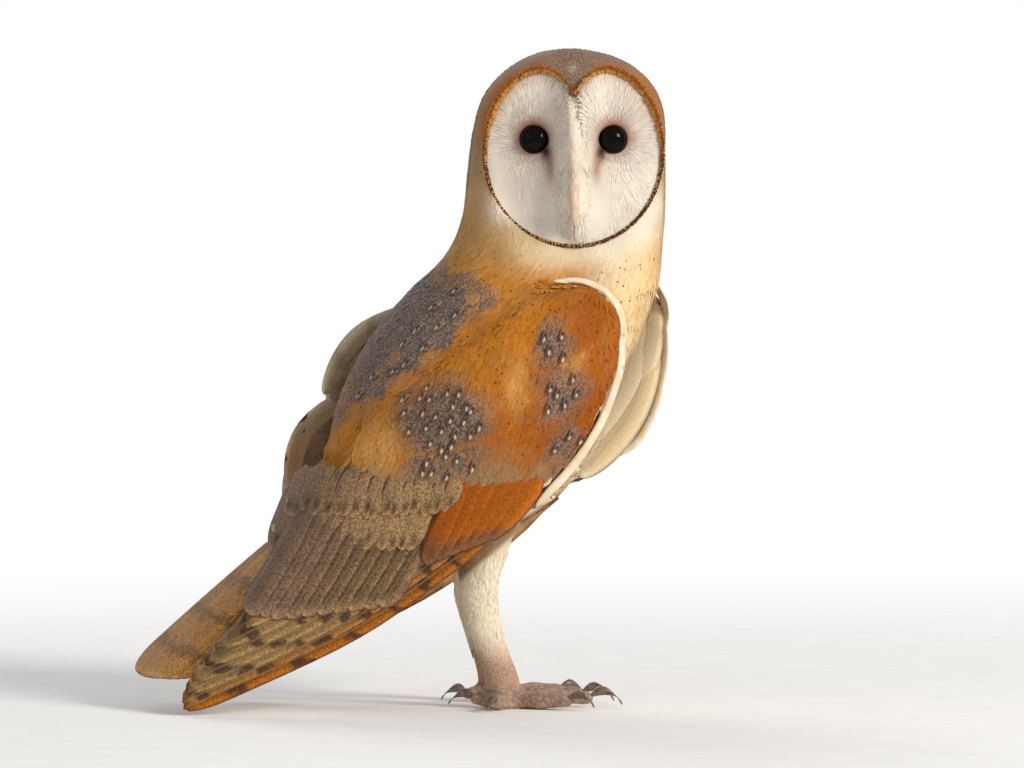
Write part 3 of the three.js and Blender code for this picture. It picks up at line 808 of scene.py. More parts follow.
def laid_vane(lay, spine, outer, inner, height, thick, blunt=0.16, camber=0.5, stem=0.3):
    """A feather as a closed vane. spine is the curve of its shaft, rows of (a, b, lift); lay turns
    places (a, b, height) into the owl's frame; outer and inner are its webs' widths; blunt is the
    share of its length that its tip is rounded over. The vane is cambered across and its shaft
    stands out. Returns places, triangles, the webs' places (u, v) and the corners of its patch."""
    v = 1 - (1 - np.linspace(0, 1, VANE_ROWS)) ** 1.6
    curve = through(np.asarray(spine, float), v)
    ahead = unit(np.gradient(curve[:, :2], axis=0))
    aside = np.stack([-ahead[:, 1], ahead[:, 0]], -1)
    body = round_end(1 - v, blunt) * (0.12 + 0.88 * ramp(v, 0, 0.25))
    u = VANE_U[None]
    reach = np.where(u < 0, inner, outer) * u * body[:, None]
    a = curve[:, :1] + aside[:, :1] * reach
    b = curve[:, 1:2] + aside[:, 1:2] * reach
    shaft = stem * (1 - 0.7 * v[:, None]) * (np.abs(u) < 0.1) * (VANE_TOP > 0)
    rise = height + curve[:, 2:3] + camber * (1 - u * u) + shaft + VANE_TOP * thick / 2 * (np.abs(u) < 0.99)
    places, faces = closed_tube(lay(a, b, rise))
    flat = np.stack([u + 0 * v[:, None], v[:, None] + 0 * u], -1).reshape(-1, 2)
    flat = np.vstack([flat, [[0, 0], [0, 1]]])
    return places, faces, flat, tube_corners(faces, VANE_ROWS, len(VANE_U))


def own_cell(index, side, patch):
    """A feather's OFBake corners: its patch in its own cell, in a square of side x side cells."""
    cell = np.array([index % side, index // side])
    return ((cell + 0.05 + 0.9 * patch) / side).reshape(-1, 2)


def feather_piece(name, material, nodes, feathers, seed,
                  back=COLOUR["cream"], dull=0.5, rough=(0, 0, 0)):
    """Laid vanes as one piece. Each is (vane, base colour, tip colour, mark, length in mm, dash,
    fade, overlap_shade, rim): it runs to the tip colour over the last fade mm, has a dark dash of
    that strength on its shaft before the tip, is painted darker by overlap_shade along its middle,
    a painted shadow where the next feather lies over it, and is paler by rim along one edge, its
    outer one if rim is over 0. Its underside turns to the colour back by the share dull, and to the
    marks rough."""
    draw = np.random.default_rng(seed)
    side = math.ceil(math.sqrt(len(feathers)))
    tints, marks, maps, cells = [], [], [], []
    for index, (vane, base, edge, mark, long, dash, fade, overlap_shade, rim) in enumerate(feathers):
        places, faces, flat, patch = vane
        u, v = flat.T
        end = (1 - v) * long
        colour = mix(np.broadcast_to(base, places.shape), edge, 0.7 * (1 - ramp(end, 0.3 * fade, fade)))
        # Painted shadow: the web is darker on its covered side, under the next feather's edge.
        colour = colour * (1 - overlap_shade * (1 - ramp(u, 0.1, 0.5)) * ramp(end, 2, 8))[:, None]
        spot = bell(u - draw.uniform(-0.2, 0.2), 0.32) * bell(end - draw.uniform(4, 7), 3.2)
        spot = spot * dash * draw.uniform(0.6, 1.0)
        colour = mix(colour, COLOUR["dark"], spot) * draw.uniform(0.94, 1.06)
        colour = mix(colour, COLOUR["white"], abs(rim) * ramp(u * np.sign(rim), 0.45, 0.9))
        under = np.append(np.tile(VANE_TOP < 0, VANE_ROWS), [False, False])
        tints.append(mix(colour, back, under * dull))
        marks.append(mix(np.broadcast_to(mark, places.shape), rough, under * 0.7))
        corners = flat[faces]
        maps.append(np.stack([corners[..., 0] / 2 + 0.5, corners[..., 1] * long / 100
                              + round(draw.uniform(0, 9)) + draw.uniform(0, 0.06)], -1).reshape(-1, 2))
        cells.append(own_cell(index, side, patch))
    places, faces = joined([feather[0][:2] for feather in feathers])
    mesh = make_mesh(name, places, faces)
    set_colour(mesh, "tint", np.vstack(tints))
    set_colour(mesh, "mark", np.vstack(marks))
    set_uv(mesh, "OFBake", np.vstack(cells))
    set_uv(mesh, "Vane", np.vstack(maps))
    return add_piece(name, mesh, material, nodes)


def wing_lay(wing, level):
    """Lays a vane over a wing: a is down the chord, b is the reach, at a level in its thickness."""
    return lambda a, b, height: wing_place(wing, a, b, np.broadcast_to(level, a.shape), height)


def flight_feathers(wing):
    """The primaries, then the secondaries with the tertials, each from the lowest to the topmost.
    The primaries fan from the wrist to the wing's tip; the secondaries lean across them, their tips
    in steps."""
    made = []
    for i in range(7):
        t = i / 6
        root = (105 + 72 * t, 56 - 48 * t)
        tip = (297 - 50 * t**1.8, 1 - 9 * (1 - (1 - t) ** 2.0))
        bow = (0.45 * root[0] + 0.55 * tip[0], 0.45 * root[1] + 0.55 * tip[1] + 10 - 7 * t)
        first = (0.75 * root[0] + 0.25 * tip[0], 0.75 * root[1] + 0.25 * tip[1] + 6 - 4 * t)
        spine = [(a, b * wing["fan"], 0) for a, b in (root, first, bow, tip)]
        base = mix(mix(COLOUR["orange"], COLOUR["gold"], 0.6), mix(COLOUR["olive"], COLOUR["buff"], 0.4),
                   ramp(t, 0.0, 0.35))
        base = mix(base, COLOUR["brown"], 0.1)
        vane = laid_vane(wing_lay(wing, -0.4 + 0.6 * t), spine, 5.5 + 3 * t, 10, 0.3 * i, 0.5,
                         0.08 + 0.28 * t**2, 1.2)
        made.append((vane, base, COLOUR["brown"], (0.95, 0.8, 0.3), 200 - 60 * t, 0, 6, 0.6, 0))
    for i in range(10):
        t = i / 9
        tip = (188 + 56 * t - 6 * ramp(t, 0.7, 1), 39 - 47 * t)
        root = (tip[0] - 90 + 6 * t, tip[1] - 25 + 2 * t)
        bow = ((tip[0] + root[0]) / 2 + 2, (tip[1] + root[1]) / 2 + 3)
        spine = [(a, b * wing["fan"], lift) for (a, b), lift in ((root, -4.5), (bow, -0.3), (tip, 0))]
        base = mix(mix(COLOUR["olive"], COLOUR["brown"], 0.15), COLOUR["wing_grey"] * 1.15, 0.2 + 0.7 * t)
        vane = laid_vane(wing_lay(wing, 0.15 + 0.6 * t), spine, 7.2, 8, 0.3 + 0.2 * i, 0.5, 0.1, 1.6, 0.4)
        pale = mix(base, COLOUR["buff"], 0.6)
        made.append((vane, base, pale, (0.2, 1.0, 0.2), 98, 0, 3, 0.6 - 0.3 * ramp(t, 0.5, 0.9), 0))
    return made


COVERT_WAY = np.array([0.927, 0.375])


def covert_feathers(wing, seed):
    """Rows of greater and median coverts over the secondaries, each row's tips in a line, and the
    primary coverts."""
    draw = np.random.default_rng(seed)
    made = []
    # Each row: its first and last tips, how many, their length and width, and how high they stand.
    rows = [((156, 30), (206, -24), 14, 38, 11, 0.2), ((131, 28), (190, -30), 17, 28, 10, 0.4)]
    for first, last, count, long, wide, height in rows:
        for i in range(count):
            t = i / (count - 1)
            tip = mix(np.array(first, float), np.array(last, float), t) + draw.normal(0, 0.9, 2)
            root = tip - COVERT_WAY * long
            spine = [(*place * (1, wing["fan"]), lift)
                     for place, lift in ((root, -4.5), (mix(root, tip, 0.5), -0.4), (tip, 0))]
            grey = 0.1 + 0.8 * t**2 + draw.uniform(-0.1, 0.1)
            base = mix(COLOUR["olive"], COLOUR["wing_grey"], grey) * 1.08
            vane = laid_vane(wing_lay(wing, 0.9), spine, wide / 2, wide / 2, height + 0.03 * i,
                             0.25, 0.35, 0.4)
            pale = mix(base, COLOUR["buff"], 0.35)
            made.append((vane, base, pale, (0.0, 1.0, 0.1), long, 1.0, 3, 0.1, 0))
    # The primary coverts, rusty with brown ends.
    for i in range(6):
        t = i / 5
        tip = (126 + 30 * t, 54 - 13 * t)
        root = (76 + 26 * t, 51 - 28 * t)
        spine = [(*root, -2.5), (0.5 * (root[0] + tip[0]), 0.5 * (root[1] + tip[1]) + 2, 0), (*tip, -0.3)]
        base = mix(COLOUR["orange"], COLOUR["rust"], 0.3 * t) * 1.4
        vane = laid_vane(wing_lay(wing, 0.5), spine, 6.5, 9, 0.5 + 0.2 * i, 0.35, 0.35, 1.2, 0.15)
        end = mix(COLOUR["brown"], COLOUR["wing_grey"], 0.6)
        made.append((vane, base, end, (0.0, 0.6, 0.05), 48, 0.6, 17, 0.35, 0))
    return made


def lining_feathers(wing, rows, seed):
    """Broad soft pale feathers on the inner face of a wing, along its edges. Each row of LININGS is
    the root, the middle and the tip of a shaft, its vane's width, how high it stands, and its
    dullness."""
    draw = np.random.default_rng(seed)

    def lay(a, b, height):
        return wing_place(wing, a, b, np.full(a.shape, -1.0), -height)

    made = []
    for root, middle, tip, wide, height, dull in rows:
        long = math.dist(root, tip)
        spine = [(*root, -2.5), (*middle, 0), (*tip, 0)]
        vane = laid_vane(lay, spine, wide / 2, wide / 2, height, 0.5, 0.3, 2, 0.08)
        base = mix(COLOUR["cream"], COLOUR["white"], draw.uniform(0.1, 0.5))
        base = mix(base, COLOUR["wing_grey"], dull)
        base = mix(base, COLOUR["brown"], 0.5 * np.maximum(dull - 0.3, 0))
        mark = (0.3 * (dull > 0.1), 0.15 + 0.7 * dull, 0.15)
        rim = min(2.2 * dull, 0.9) * np.sign(middle[1])
        made.append((vane, base, COLOUR["white"], mark, long, 0, 6, 0.2, rim))
    return made


EDGE_ROWS, EDGE_COLUMNS = 110, 16


def edge_roll(wing, name, material):
    """The smooth pale edge of a wing: a roll of short feathers round its bend and down its leading
    edge, as rings along the wing's outline, widest at its lower end."""
    step = np.linspace(-0.3, 1, EDGE_ROWS)
    turn = np.linspace(0, 2 * np.pi, EDGE_COLUMNS, endpoint=False)
    down = wing["edge"] * np.abs(step)**1.6 - WING_BEND_OFFSET + 0.1
    _, middle, lead, trail = wing_limits(wing, down)
    reach = np.where(step < 0, middle - trail, middle + lead) - wing["tuck"] * ramp(step, 0.75, 1)**2
    wide = (1.6 + 0.9 * step) * round_end(step + 0.3, 0.1) * round_end(1 - step, 0.12) + 0.05
    along = unit(np.stack([np.gradient(down), np.gradient(reach)], -1))
    inset = wide * (1 - np.cos(turn)[:, None]) - 1.1
    a = (down + along[:, 1] * inset).T
    b = (reach - along[:, 0] * inset).T
    rings = wing_place(wing, a, b, 0 * a, 0.9 * wide[:, None] * np.sin(turn))
    places, faces = closed_tube(rings)
    mesh = make_mesh(name, places, faces)
    tone = 0.5 + 0.5 * wander(places, 7, 40)
    set_colour(mesh, "tint", mix(np.broadcast_to(COLOUR["cream"], places.shape), COLOUR["white"], tone))
    set_colour(mesh, "mark", 0.0)
    corners = tube_corners(faces, EDGE_ROWS, EDGE_COLUMNS).reshape(-1, 2)
    set_uv(mesh, "OFBake", 0.02 + 0.96 * corners / (1.1, 1))
    add_piece(name, mesh, material)


LININGS = {
    "left": [
        ((-9, 14), (16, 36), (48, 52), 20, 0.2, 0.0), ((0, 26), (42, 54), (89, 62), 19, 0.6, 0.0),
        ((-6, 12), (34, 40), (80, 51), 22, 1.5, 0.06), ((6, -2), (44, 22), (94, 44), 22, 2.6, 0.0),
        ((72, 44), (106, 52), (140, 47), 16, 0.3, 0.06),
        ((80, -46), (126, -64), (158, -58), 20, 0.4, 0.4), ((78, -58), (118, -75), (155, -67), 12, 1.2, 0.12),
        ((98, -34), (150, -50), (190, -46), 26, 0.1, 0.5), ((120, -36), (176, -50), (216, -28), 20, 0.4, 0.4),
        ((118, -46), (172, -60), (208, -38), 12, 1.1, 0.05),
    ],
    "right": [
        ((56, 46), (84, 54), (112, 50), 16, 0.2, 0.0), ((46, 50), (68, 58), (98, 58), 16, 0.8, 0.04),
        ((34, 50), (54, 58), (80, 62), 14, 1.4, 0.0),
    ],
}


def tail_feathers():
    """Twelve feathers fanned from the rump, the middle ones on top."""
    along, across, up = tail_axes()
    root = np.array([TAIL["root"][0], MIDLINE, TAIL["root"][1]])

    def lay(a, b, height):
        sag = 5 * (a / TAIL["length"]) ** 2
        drop = 3.0 * (b / 39) ** 2
        return (root + along * a[..., None] + across * b[..., None]
                + up * (height - sag - drop)[..., None])

    made = []
    order = sorted(range(-6, 6), key=lambda k: -abs(k + 0.5))
    for level, k in enumerate(order):
        t = (k + 0.5) / 5.5
        fan = math.radians(7 * t)
        start = (4, 8 * t, 0)
        long = TAIL["length"] - 5 - 5 * t**2 - 6 * (t + 1)
        tip = (start[0] + long * math.cos(fan), start[1] + long * math.sin(fan), 0)
        base = mix(mix(COLOUR["gold"], COLOUR["olive"], 0.35), COLOUR["buff"], 0.3)
        vane = laid_vane(lay, [start, tip], 15, 15, -1.5 + 0.2 * level, 0.3, 0.14, 0.9)
        made.append((vane, base, mix(base, COLOUR["cream"], 0.5), (0.55, 0.9, 0.15), long, 0, 2, 0.2,
                     0.5 * (k == -6)))
    return made


# ---- Where the coat lies and how it is painted -------------------------------------------------


def body_lie(places, normals):
    """The lie of the coat: back over the crown and down the neck, down the breast and the legs, and
    back and down along the back."""
    z = places[:, 2]
    ahead = ramp(normals[:, 0], -0.4, 0.5)
    body = mix(np.broadcast_to([-0.66, 0, -0.75], places.shape), [-0.12, 0, -1.0], ahead)
    over = (0.35 + ramp(z, 300, 350))[:, None] * np.array([0, 1.0, 0])
    down = (1 - 0.75 * ramp(z, 310, 350))[:, None] * np.array([0, 0, -1.0])
    way = mix(body, over + down, ramp(z, 235, 262))
    return mix(way, [0, 0, -1.0], 1 - ramp(z, 78, 96))


def wing_lie(wing):
    """The lie of a wing's coverts: along the chord, turned towards the leading edge in its middle,
    and over the bend's edge from the outside in."""
    chord, lead_way, _ = wing_axes(wing)

    def lie(places, normals):
        down, reach = wing_coordinates(wing, places[:, 0], places[:, 2])
        lead = wing_limits(wing, down)[2]
        turn = np.radians(22) * ramp(reach, -55, -20) * (1 - ramp(reach - lead, -24, -8))
        flat = np.cos(turn)[:, None] * chord + np.sin(turn)[:, None] * lead_way
        over = -1.6 * ramp(np.abs(normals[:, 0] * chord[0] + normals[:, 2] * chord[1]), 0.25, 0.75)
        return np.stack([flat[:, 0], wing["side"] * over, flat[:, 1]], -1)
    return lie


def face_lie(places, normals):
    """The lie of the face: rays from each eye, bent down along the ridge and beside the bill."""
    across, up = places[:, 0] - DISC["x"], places[:, 2] - DISC["z"]
    side = np.where(across < 0, -1.0, 1.0)
    away = unit(np.stack([across - side * EYE_ACROSS, up - EYE_UP], -1))
    inside = ramp(-(across * side - EYE_ACROSS), 4, EYE_ACROSS - 2)
    below = unit(np.stack([side * 0.3 * (1 - ramp(up, EYE_UP - 12, EYE_UP)), -1 + 0 * side], -1))
    way = unit(mix(away, below, inside * 0.9))
    return np.stack([way[:, 0], -0.25 + 0 * side, way[:, 1]], -1)


def face_paint(places, normals):
    """Colours of the face: white, dusky towards its shaded rim, with a rusty halo round each eye and
    a dark tear at the eye's inner lower corner."""
    across, up = places[:, 0] - DISC["x"], places[:, 2] - DISC["z"]
    side = np.where(across < 0, -1.0, 1.0)
    dx, dz = across * side - EYE_ACROSS, up - EYE_UP
    away = np.hypot(dx, dz)
    angle = np.arctan2(dz, dx)
    base = np.broadcast_to(COLOUR["face"], places.shape)
    base = mix(base, COLOUR["white"], 0.5 * bell(across, 12))
    halo = bell(np.maximum(away - 7.8, 0), 4.0) * (0.62 + 0.32 * np.cos(angle - 0.7))
    base = mix(base, COLOUR["tear"], 0.75 * bell(np.maximum(away - 7.2, 0), 0.9))
    base = mix(base, COLOUR["halo"], halo)
    tear = bell(np.hypot(dx + 5.8, (dz + 7.5) * 0.6), 3.0)
    base = mix(base, COLOUR["tear"], tear * 0.95)
    base = mix(base, COLOUR["dark"] * 0.4, 0.95 * bell(np.hypot(dx + 5.3, dz + 6.4), 2.0))
    base = mix(base, COLOUR["halo"], 0.7 * bell(np.hypot(dx + 8.0, (dz + 15) * 0.35), 2.8))
    base = mix(base, COLOUR["ochre"], 0.3 * bell(across, 2.2) * ramp(-up, -16, 4))
    base = mix(base, COLOUR["brow"], 0.75 * bell(np.hypot(across - 0.5, (up + 7) * 0.55), 2.6))
    out = face_share(across, up)
    base = mix(base, COLOUR["ruff"], 0.5 * ramp(out, 0.88, 1.0) * ramp(up, 5, 25))
    speck = 0.35 * bell(np.hypot(across * 0.8, up + 26), 10)
    return base, np.stack([0 * speck, speck, 0 * speck], -1)


def any_paint(places, normals):
    """Colours and marks over the whole skin: the body's, a wing's or the face's."""
    base, mark = body_paint(places, normals)
    across, up = places[:, 0] - DISC["x"], places[:, 2] - DISC["z"]
    face = (1 - ramp(face_share(across, up), 0.97, 1.0)) * ramp(MIDLINE - places[:, 1], 12, 16)
    base, mark = mix(base, face_paint(places, normals)[0], face), mix(mark, 0 * mark, face)
    for wing in WINGS.values():
        share = wing_share(places, wing)
        outer, marks = wing_side_paint(wing)(places, normals)
        base, mark = mix(base, outer, share), mix(mark, marks, share)
    return base, mark


def wing_share(places, wing, soft=1.0):
    """1 on the part of the skin that is a wing: from 1 mm off the flank, give or take soft."""
    x, y, z = places.T
    down, reach = wing_coordinates(wing, x, z)
    _, _, lead, trail = wing_limits(wing, down)
    inside = ramp(reach, -trail - 5, -trail - 1) * ramp(-reach, -lead - 8, -lead - 4)
    apart = ramp(wing["side"] * (y - MIDLINE) - flank(x, z), 1 - soft, 1 + soft)
    return apart * inside * ramp(down, -18, -14) * (1 - ramp(z, 236, 242)) * (1 - mantle_share(places))


def wing_side_paint(wing):
    """Colours and marks of a wing: its patterned outside, and its cream inside."""
    def paint(places, normals):
        down, reach = wing_coordinates(wing, places[:, 0], places[:, 2])
        base, mark = wing_paint(down, reach, places)
        under = 1 - ramp(wing["side"] * normals[:, 1], -0.25, 0.1)
        if wing["side"] < 0:
            under = under * ramp(reach, -20, 0) * (1 - ramp(down, 95, 115))
        _, middle, lead, trail = wing_limits(wing, down)
        lead = lead + middle
        rim = ramp(reach - lead, -2.6, -1.2) * (1 - ramp(down, 95, 115))
        if wing["side"] > 0:
            inner = 1 - ramp(normals[:, 1], 0.1, 0.5)
            rim = np.maximum(ramp(reach - lead, -13, -7), ramp(-reach - trail, -18, -8)) * inner
            rim = np.maximum(rim, ramp(reach - lead, -3.5, -1.5))
        under = np.maximum(under, rim)
        lining = mix(COLOUR["cream"], COLOUR["white"], 0.3 + 0 * down)
        lining = mix(lining, COLOUR["pink"], 0.3 * ramp(down, 75, 120))
        return mix(base, lining, under), mix(mark, [0, 0.25, 0], under)
    return paint


# ---- Coats -------------------------------------------------------------------------------------


def grow_coats(skin, material):
    """Every layer of tufts, region by region."""
    places, normals = skin["middle"], skin["normal"]
    x, y, z = places.T
    across, up = x - DISC["x"], z - DISC["z"]
    face = (face_share(across, up) < 0.985) & (MIDLINE - y > 13)
    shares = {side: wing_share(places, wing) for side, wing in WINGS.items()}
    winged = np.maximum(shares["right"], shares["left"]) > 0.5
    body = ~face & ~winged
    ahead = normals[:, 0] > -0.2 - 0.8 * ramp(z, 225, 235)
    beneath = {side: (shares[side] > 0.5) & (wing["side"] * normals[:, 1] < -0.1)
               for side, wing in WINGS.items()}

    def beyond(places):
        """How far a place lies outside the face's outline."""
        return (face_share(places[:, 0] - DISC["x"], places[:, 2] - DISC["z"]) - 1) * DISC["radius"]

    def long(places, normals):
        """Tufts are longest on the back, and short on the crown, at the face and on the legs."""
        z = places[:, 2]
        size = 10 - 4 * ramp(z, 240, 285) - 1.2 * ramp(z, 318, 335) + 2 * mantle_share(places)
        size = size * (1 - 0.5 * (1 - ramp(beyond(places), 3, 18)) * ramp(MIDLINE - places[:, 1], 0, 12))
        return size * (1 - 0.45 * (1 - ramp(z, 55, 110))) - 2.2 * (1 - ramp(z, 24, 45))

    def wide(places, normals):
        """A tuft's width goes with its length."""
        return 0.27 * long(places, normals) + 0.1

    def tall(places, normals):
        """Tips stand half way out of the coat's depth, lower at the face, higher behind the legs."""
        collar = (1 - ramp(beyond(places), 10, 30)) * ramp(MIDLINE - places[:, 1], 0, 12)
        fringe = ramp(-normals[:, 0], 0.3, 0.9) * (1 - ramp(places[:, 2], 60, 80))
        return 0.52 * coat_depth(places) * (1 - 0.8 * collar) + 0.9 * fringe

    plans = [
        ("crown_coat", "crown_feathers", ["head"], body & (z > 300), 0.42),
        ("cheek_coat", "crown_feathers", ["head"], body & (z > 262) & (z <= 300), 0.6),
        ("throat_coat", "body_feathers", ["neck", "trunk"], body & (z > 190) & (z <= 262) & ahead, 0.34),
        ("breast_coat", "body_feathers", ["trunk"], body & (z > 88) & (z <= 190) & ahead, 0.34),
        ("back_coat", "body_feathers", ["neck", "trunk"], body & (z > 88) & (z <= 262) & ~ahead, 0.32),
        ("leg_coat", "leg_feathers", ["thigh_right", "thigh_left"], body & (z > 26) & (z <= 88), 0.7),
    ]
    for seed, (name, slot, nodes, mask, thick) in enumerate(plans):
        part = lay_tufts(spread(skin, mask * thick, 10 * seed), body_lie, long, wide, tall, body_paint,
                         10 * seed, 0.09, 0.1)
        coat(name, material, nodes, [part])
    for seed, (side, wing) in enumerate(WINGS.items()):
        down, reach = wing_coordinates(wing, x, z)
        _, middle, lead, trail = wing_limits(wing, down)
        limit = np.where(reach > 22, np.minimum(97 + 1.5 * (50 - reach), 120), 100)
        outer = (shares[side] > 0.5) & ~beneath[side] & (row_line(down, reach) < limit)
        if side == "left":
            outer &= (normals[:, 1] > 0.6) & (reach < middle + lead - 9) & (reach > 12 - trail)
        else:
            outer &= ((reach > -10) | (normals[:, 1] < -0.4)) & (reach < middle + lead - 1.5)
            outer &= (reach > middle - trail + 1.5) | (down > 16)
        plan = np.where(outer, 0.36, 0.0)
        part = lay_tufts(spread(skin, plan, 100 + 10 * seed), wing_lie(wing),
                         lambda p, n: 9.0 + 2 * ramp(p[:, 2], 190, 110), lambda p, n: 2.6 + 0 * p[:, 0],
                         lambda p, n: 0.95 + 0 * p[:, 0], wing_side_paint(wing), 100 + 10 * seed, 0.08, 0.1)
        coat(f"covert_coat_{side}", material, [f"wing_{side}"], [part])


def face_roots(spacing, seed):
    """Roots on the face, by its own shape: places on a grid, each moved a little, left out where the
    eyes are. Their OFBake places are laid out by the angle round the face and the share of the way
    to its outline."""
    draw = np.random.default_rng(seed)
    side = np.arange(-56, 56, spacing)
    near = np.arange(-11, 11, 0.8 * spacing)
    across, up = (np.concatenate([g.ravel(), h.ravel()])
                  for g, h in zip(np.meshgrid(side, side), np.meshgrid(near, side)))
    across, up = (g + draw.uniform(-0.5, 0.5, g.size) * spacing for g in (across, up))
    away = np.hypot(np.abs(across) - EYE_ACROSS, up - EYE_UP)
    notch = bell(np.arctan2(np.abs(across), -up) - np.pi, 0.45)
    kept = (face_share(across, up) < 0.985 - 0.035 * notch) & (away > 7.3)
    across, up = across[kept], up[kept]

    def slope(across, up):
        """The face's normal, from its depth on both sides of a place."""
        step = 0.4
        along = (face_depth(across + step, up) - face_depth(across - step, up)) / (2 * step)
        rise = (face_depth(across, up + step) - face_depth(across, up - step)) / (2 * step)
        return unit(np.stack([-along, -1 + 0 * along, -rise], -1))

    normal = slope(across, up)
    bend = np.zeros((len(across), 3, 3))
    bend[:, 0] = (slope(across + 2, up) - slope(across - 2, up)) / 4
    bend[:, 2] = (slope(across, up + 2) - slope(across, up - 2)) / 4
    patch = np.stack([np.arctan2(across, up) / (2 * np.pi) + 0.5, face_share(across, up)], -1)
    return face_place(across, up, -0.9), normal, bend, 0.01 + 0.98 * patch


def barb_length(places, normals):
    """Barbs are long in the open face and short at its outline and next to the eyes."""
    across, up = places[:, 0] - DISC["x"], places[:, 2] - DISC["z"]
    away = np.hypot(np.abs(across) - EYE_ACROSS, up - EYE_UP)
    notch = 0.6 * bell(np.arctan2(np.abs(across), -up) - np.pi, 0.5)
    rim = (1 - face_share(across, up)) * DISC["radius"] * (1 - notch) + 1.4
    ridge = 11 - 6 * bell(across, 7)
    return np.clip(np.minimum(np.minimum(rim, ridge), 3.0 + 0.8 * (away - 7)), 1.4, 11.0)


def barb_rise(places, normals):
    """Barbs stand lowest on the ridge and at the outline."""
    across, up = places[:, 0] - DISC["x"], places[:, 2] - DISC["z"]
    return (0.9 - 0.55 * bell(across, 9)) * (1 - 0.6 * ramp(face_share(across, up), 0.88, 0.98))


def grow_face(material):
    """The face: fine barbs that ray out from the eyes, as its right half and its left half."""
    roots = face_roots(0.95, 300)
    right = roots[0][:, 0] < DISC["x"]
    for side, half in (("right", right), ("left", ~right)):
        part = lay_tufts([values[half] for values in roots], face_lie, barb_length,
                         lambda p, n: 0.8 + 0 * p[:, 0], barb_rise, face_paint, 300, 0.04, 0.05, 0.1)
        coat(f"face_coat_{side}", material, ["facial_disc"], [part])


def rim_tufts(seed):
    """The ruff round the face: short stiff feathers that stand forward in rows along its outline,
    orange-brown above and thin and dark brown below."""
    draw = np.random.default_rng(seed)
    count = 3000
    # Angles spread evenly along the outline, and how much it leans there.
    turn = np.linspace(-np.pi + 0.03, np.pi - 0.03, 2000)
    steep = np.gradient(heart(np.abs(turn)), turn)
    share = np.cumsum(np.hypot(heart(np.abs(turn)), steep))
    angle = np.interp(draw.random(count) * share[-1], share, turn)
    lean = np.interp(angle, turn, steep / heart(np.abs(turn)))[:, None]
    # Three rows, closer below than above.
    row = draw.integers(0, 3, count)
    high = ramp(np.abs(angle), 1.25, 2.1)
    ring = 1.0 + (row - 1) * (0.005 + 0.013 * high) + draw.normal(0, 0.002 + 0.004 * high, count)
    radius = heart(np.abs(angle)) * ring
    across, up = radius * np.sin(angle), -radius * np.cos(angle)
    root = face_place(across * 0.978, up * 0.978, 0.5 + 0.8 * bell(np.abs(angle) - np.pi, 0.3))
    # Each tuft stands outwards and forwards, its flat side ahead.
    outer = np.stack([np.sin(angle), 0 * angle, -np.cos(angle)], -1)
    outer = unit(outer - lean * np.stack([np.cos(angle), 0 * angle, np.sin(angle)], -1))
    ahead = np.array([0, -1.0, 0])
    way = unit(outer + ahead * (0.55 - 0.2 * row[:, None]) + draw.normal(0, 0.1, (count, 3)))
    side = unit(np.cross(ahead, way))
    normal = np.cross(way, side)
    normal = normal * np.sign((normal * ahead).sum(1, keepdims=True))
    side = np.cross(normal, way)
    long = draw.uniform(1.7, 2.5, count) * (0.75 + 0.3 * high)
    wide = draw.uniform(0.8, 1.2, count)
    v = TUFT_ALONG[None]
    out = long[:, None] * v
    lateral = wide[:, None] / 2 * TUFT_WIDE * TUFT_SIDE
    lift = TUFT_RISE * TUFT_WIDE * 0.14 - 0.06 * out**2
    places = tuft_places(root, way, side, normal, out, lateral, lift)
    # Above, orange-brown with a paler first row; below, dark brown with single pale ones.
    orange = mix(COLOUR["ruff"], COLOUR["deep_orange"], draw.uniform(0.0, 0.9, count))
    orange = mix(orange, COLOUR["buff"], (row == 0) * draw.uniform(0.1, 0.7, count))
    low = mix(COLOUR["ruff_low"], COLOUR["tear"], draw.uniform(0, 1.0, count))
    low = mix(low, COLOUR["buff"], (row == 0) * (draw.random(count) < 0.35) * 0.6)
    base = mix(low, orange, high)
    # Each ruff feather is painted a little darker towards its root: painted shade among the others.
    tints = base[:, None] * (0.95 + 0.1 * v)[..., None]
    patch = np.stack([angle / (2 * np.pi) + 0.5, 0.1 + 0.25 * row + 0.1 * draw.random(count)], -1)
    patch = patch * 0.98 + 0.01
    shading = shaded_softly(normal, way, side, draw)
    return whole_tufts(places, tints, np.zeros(places.shape), patch, shading)


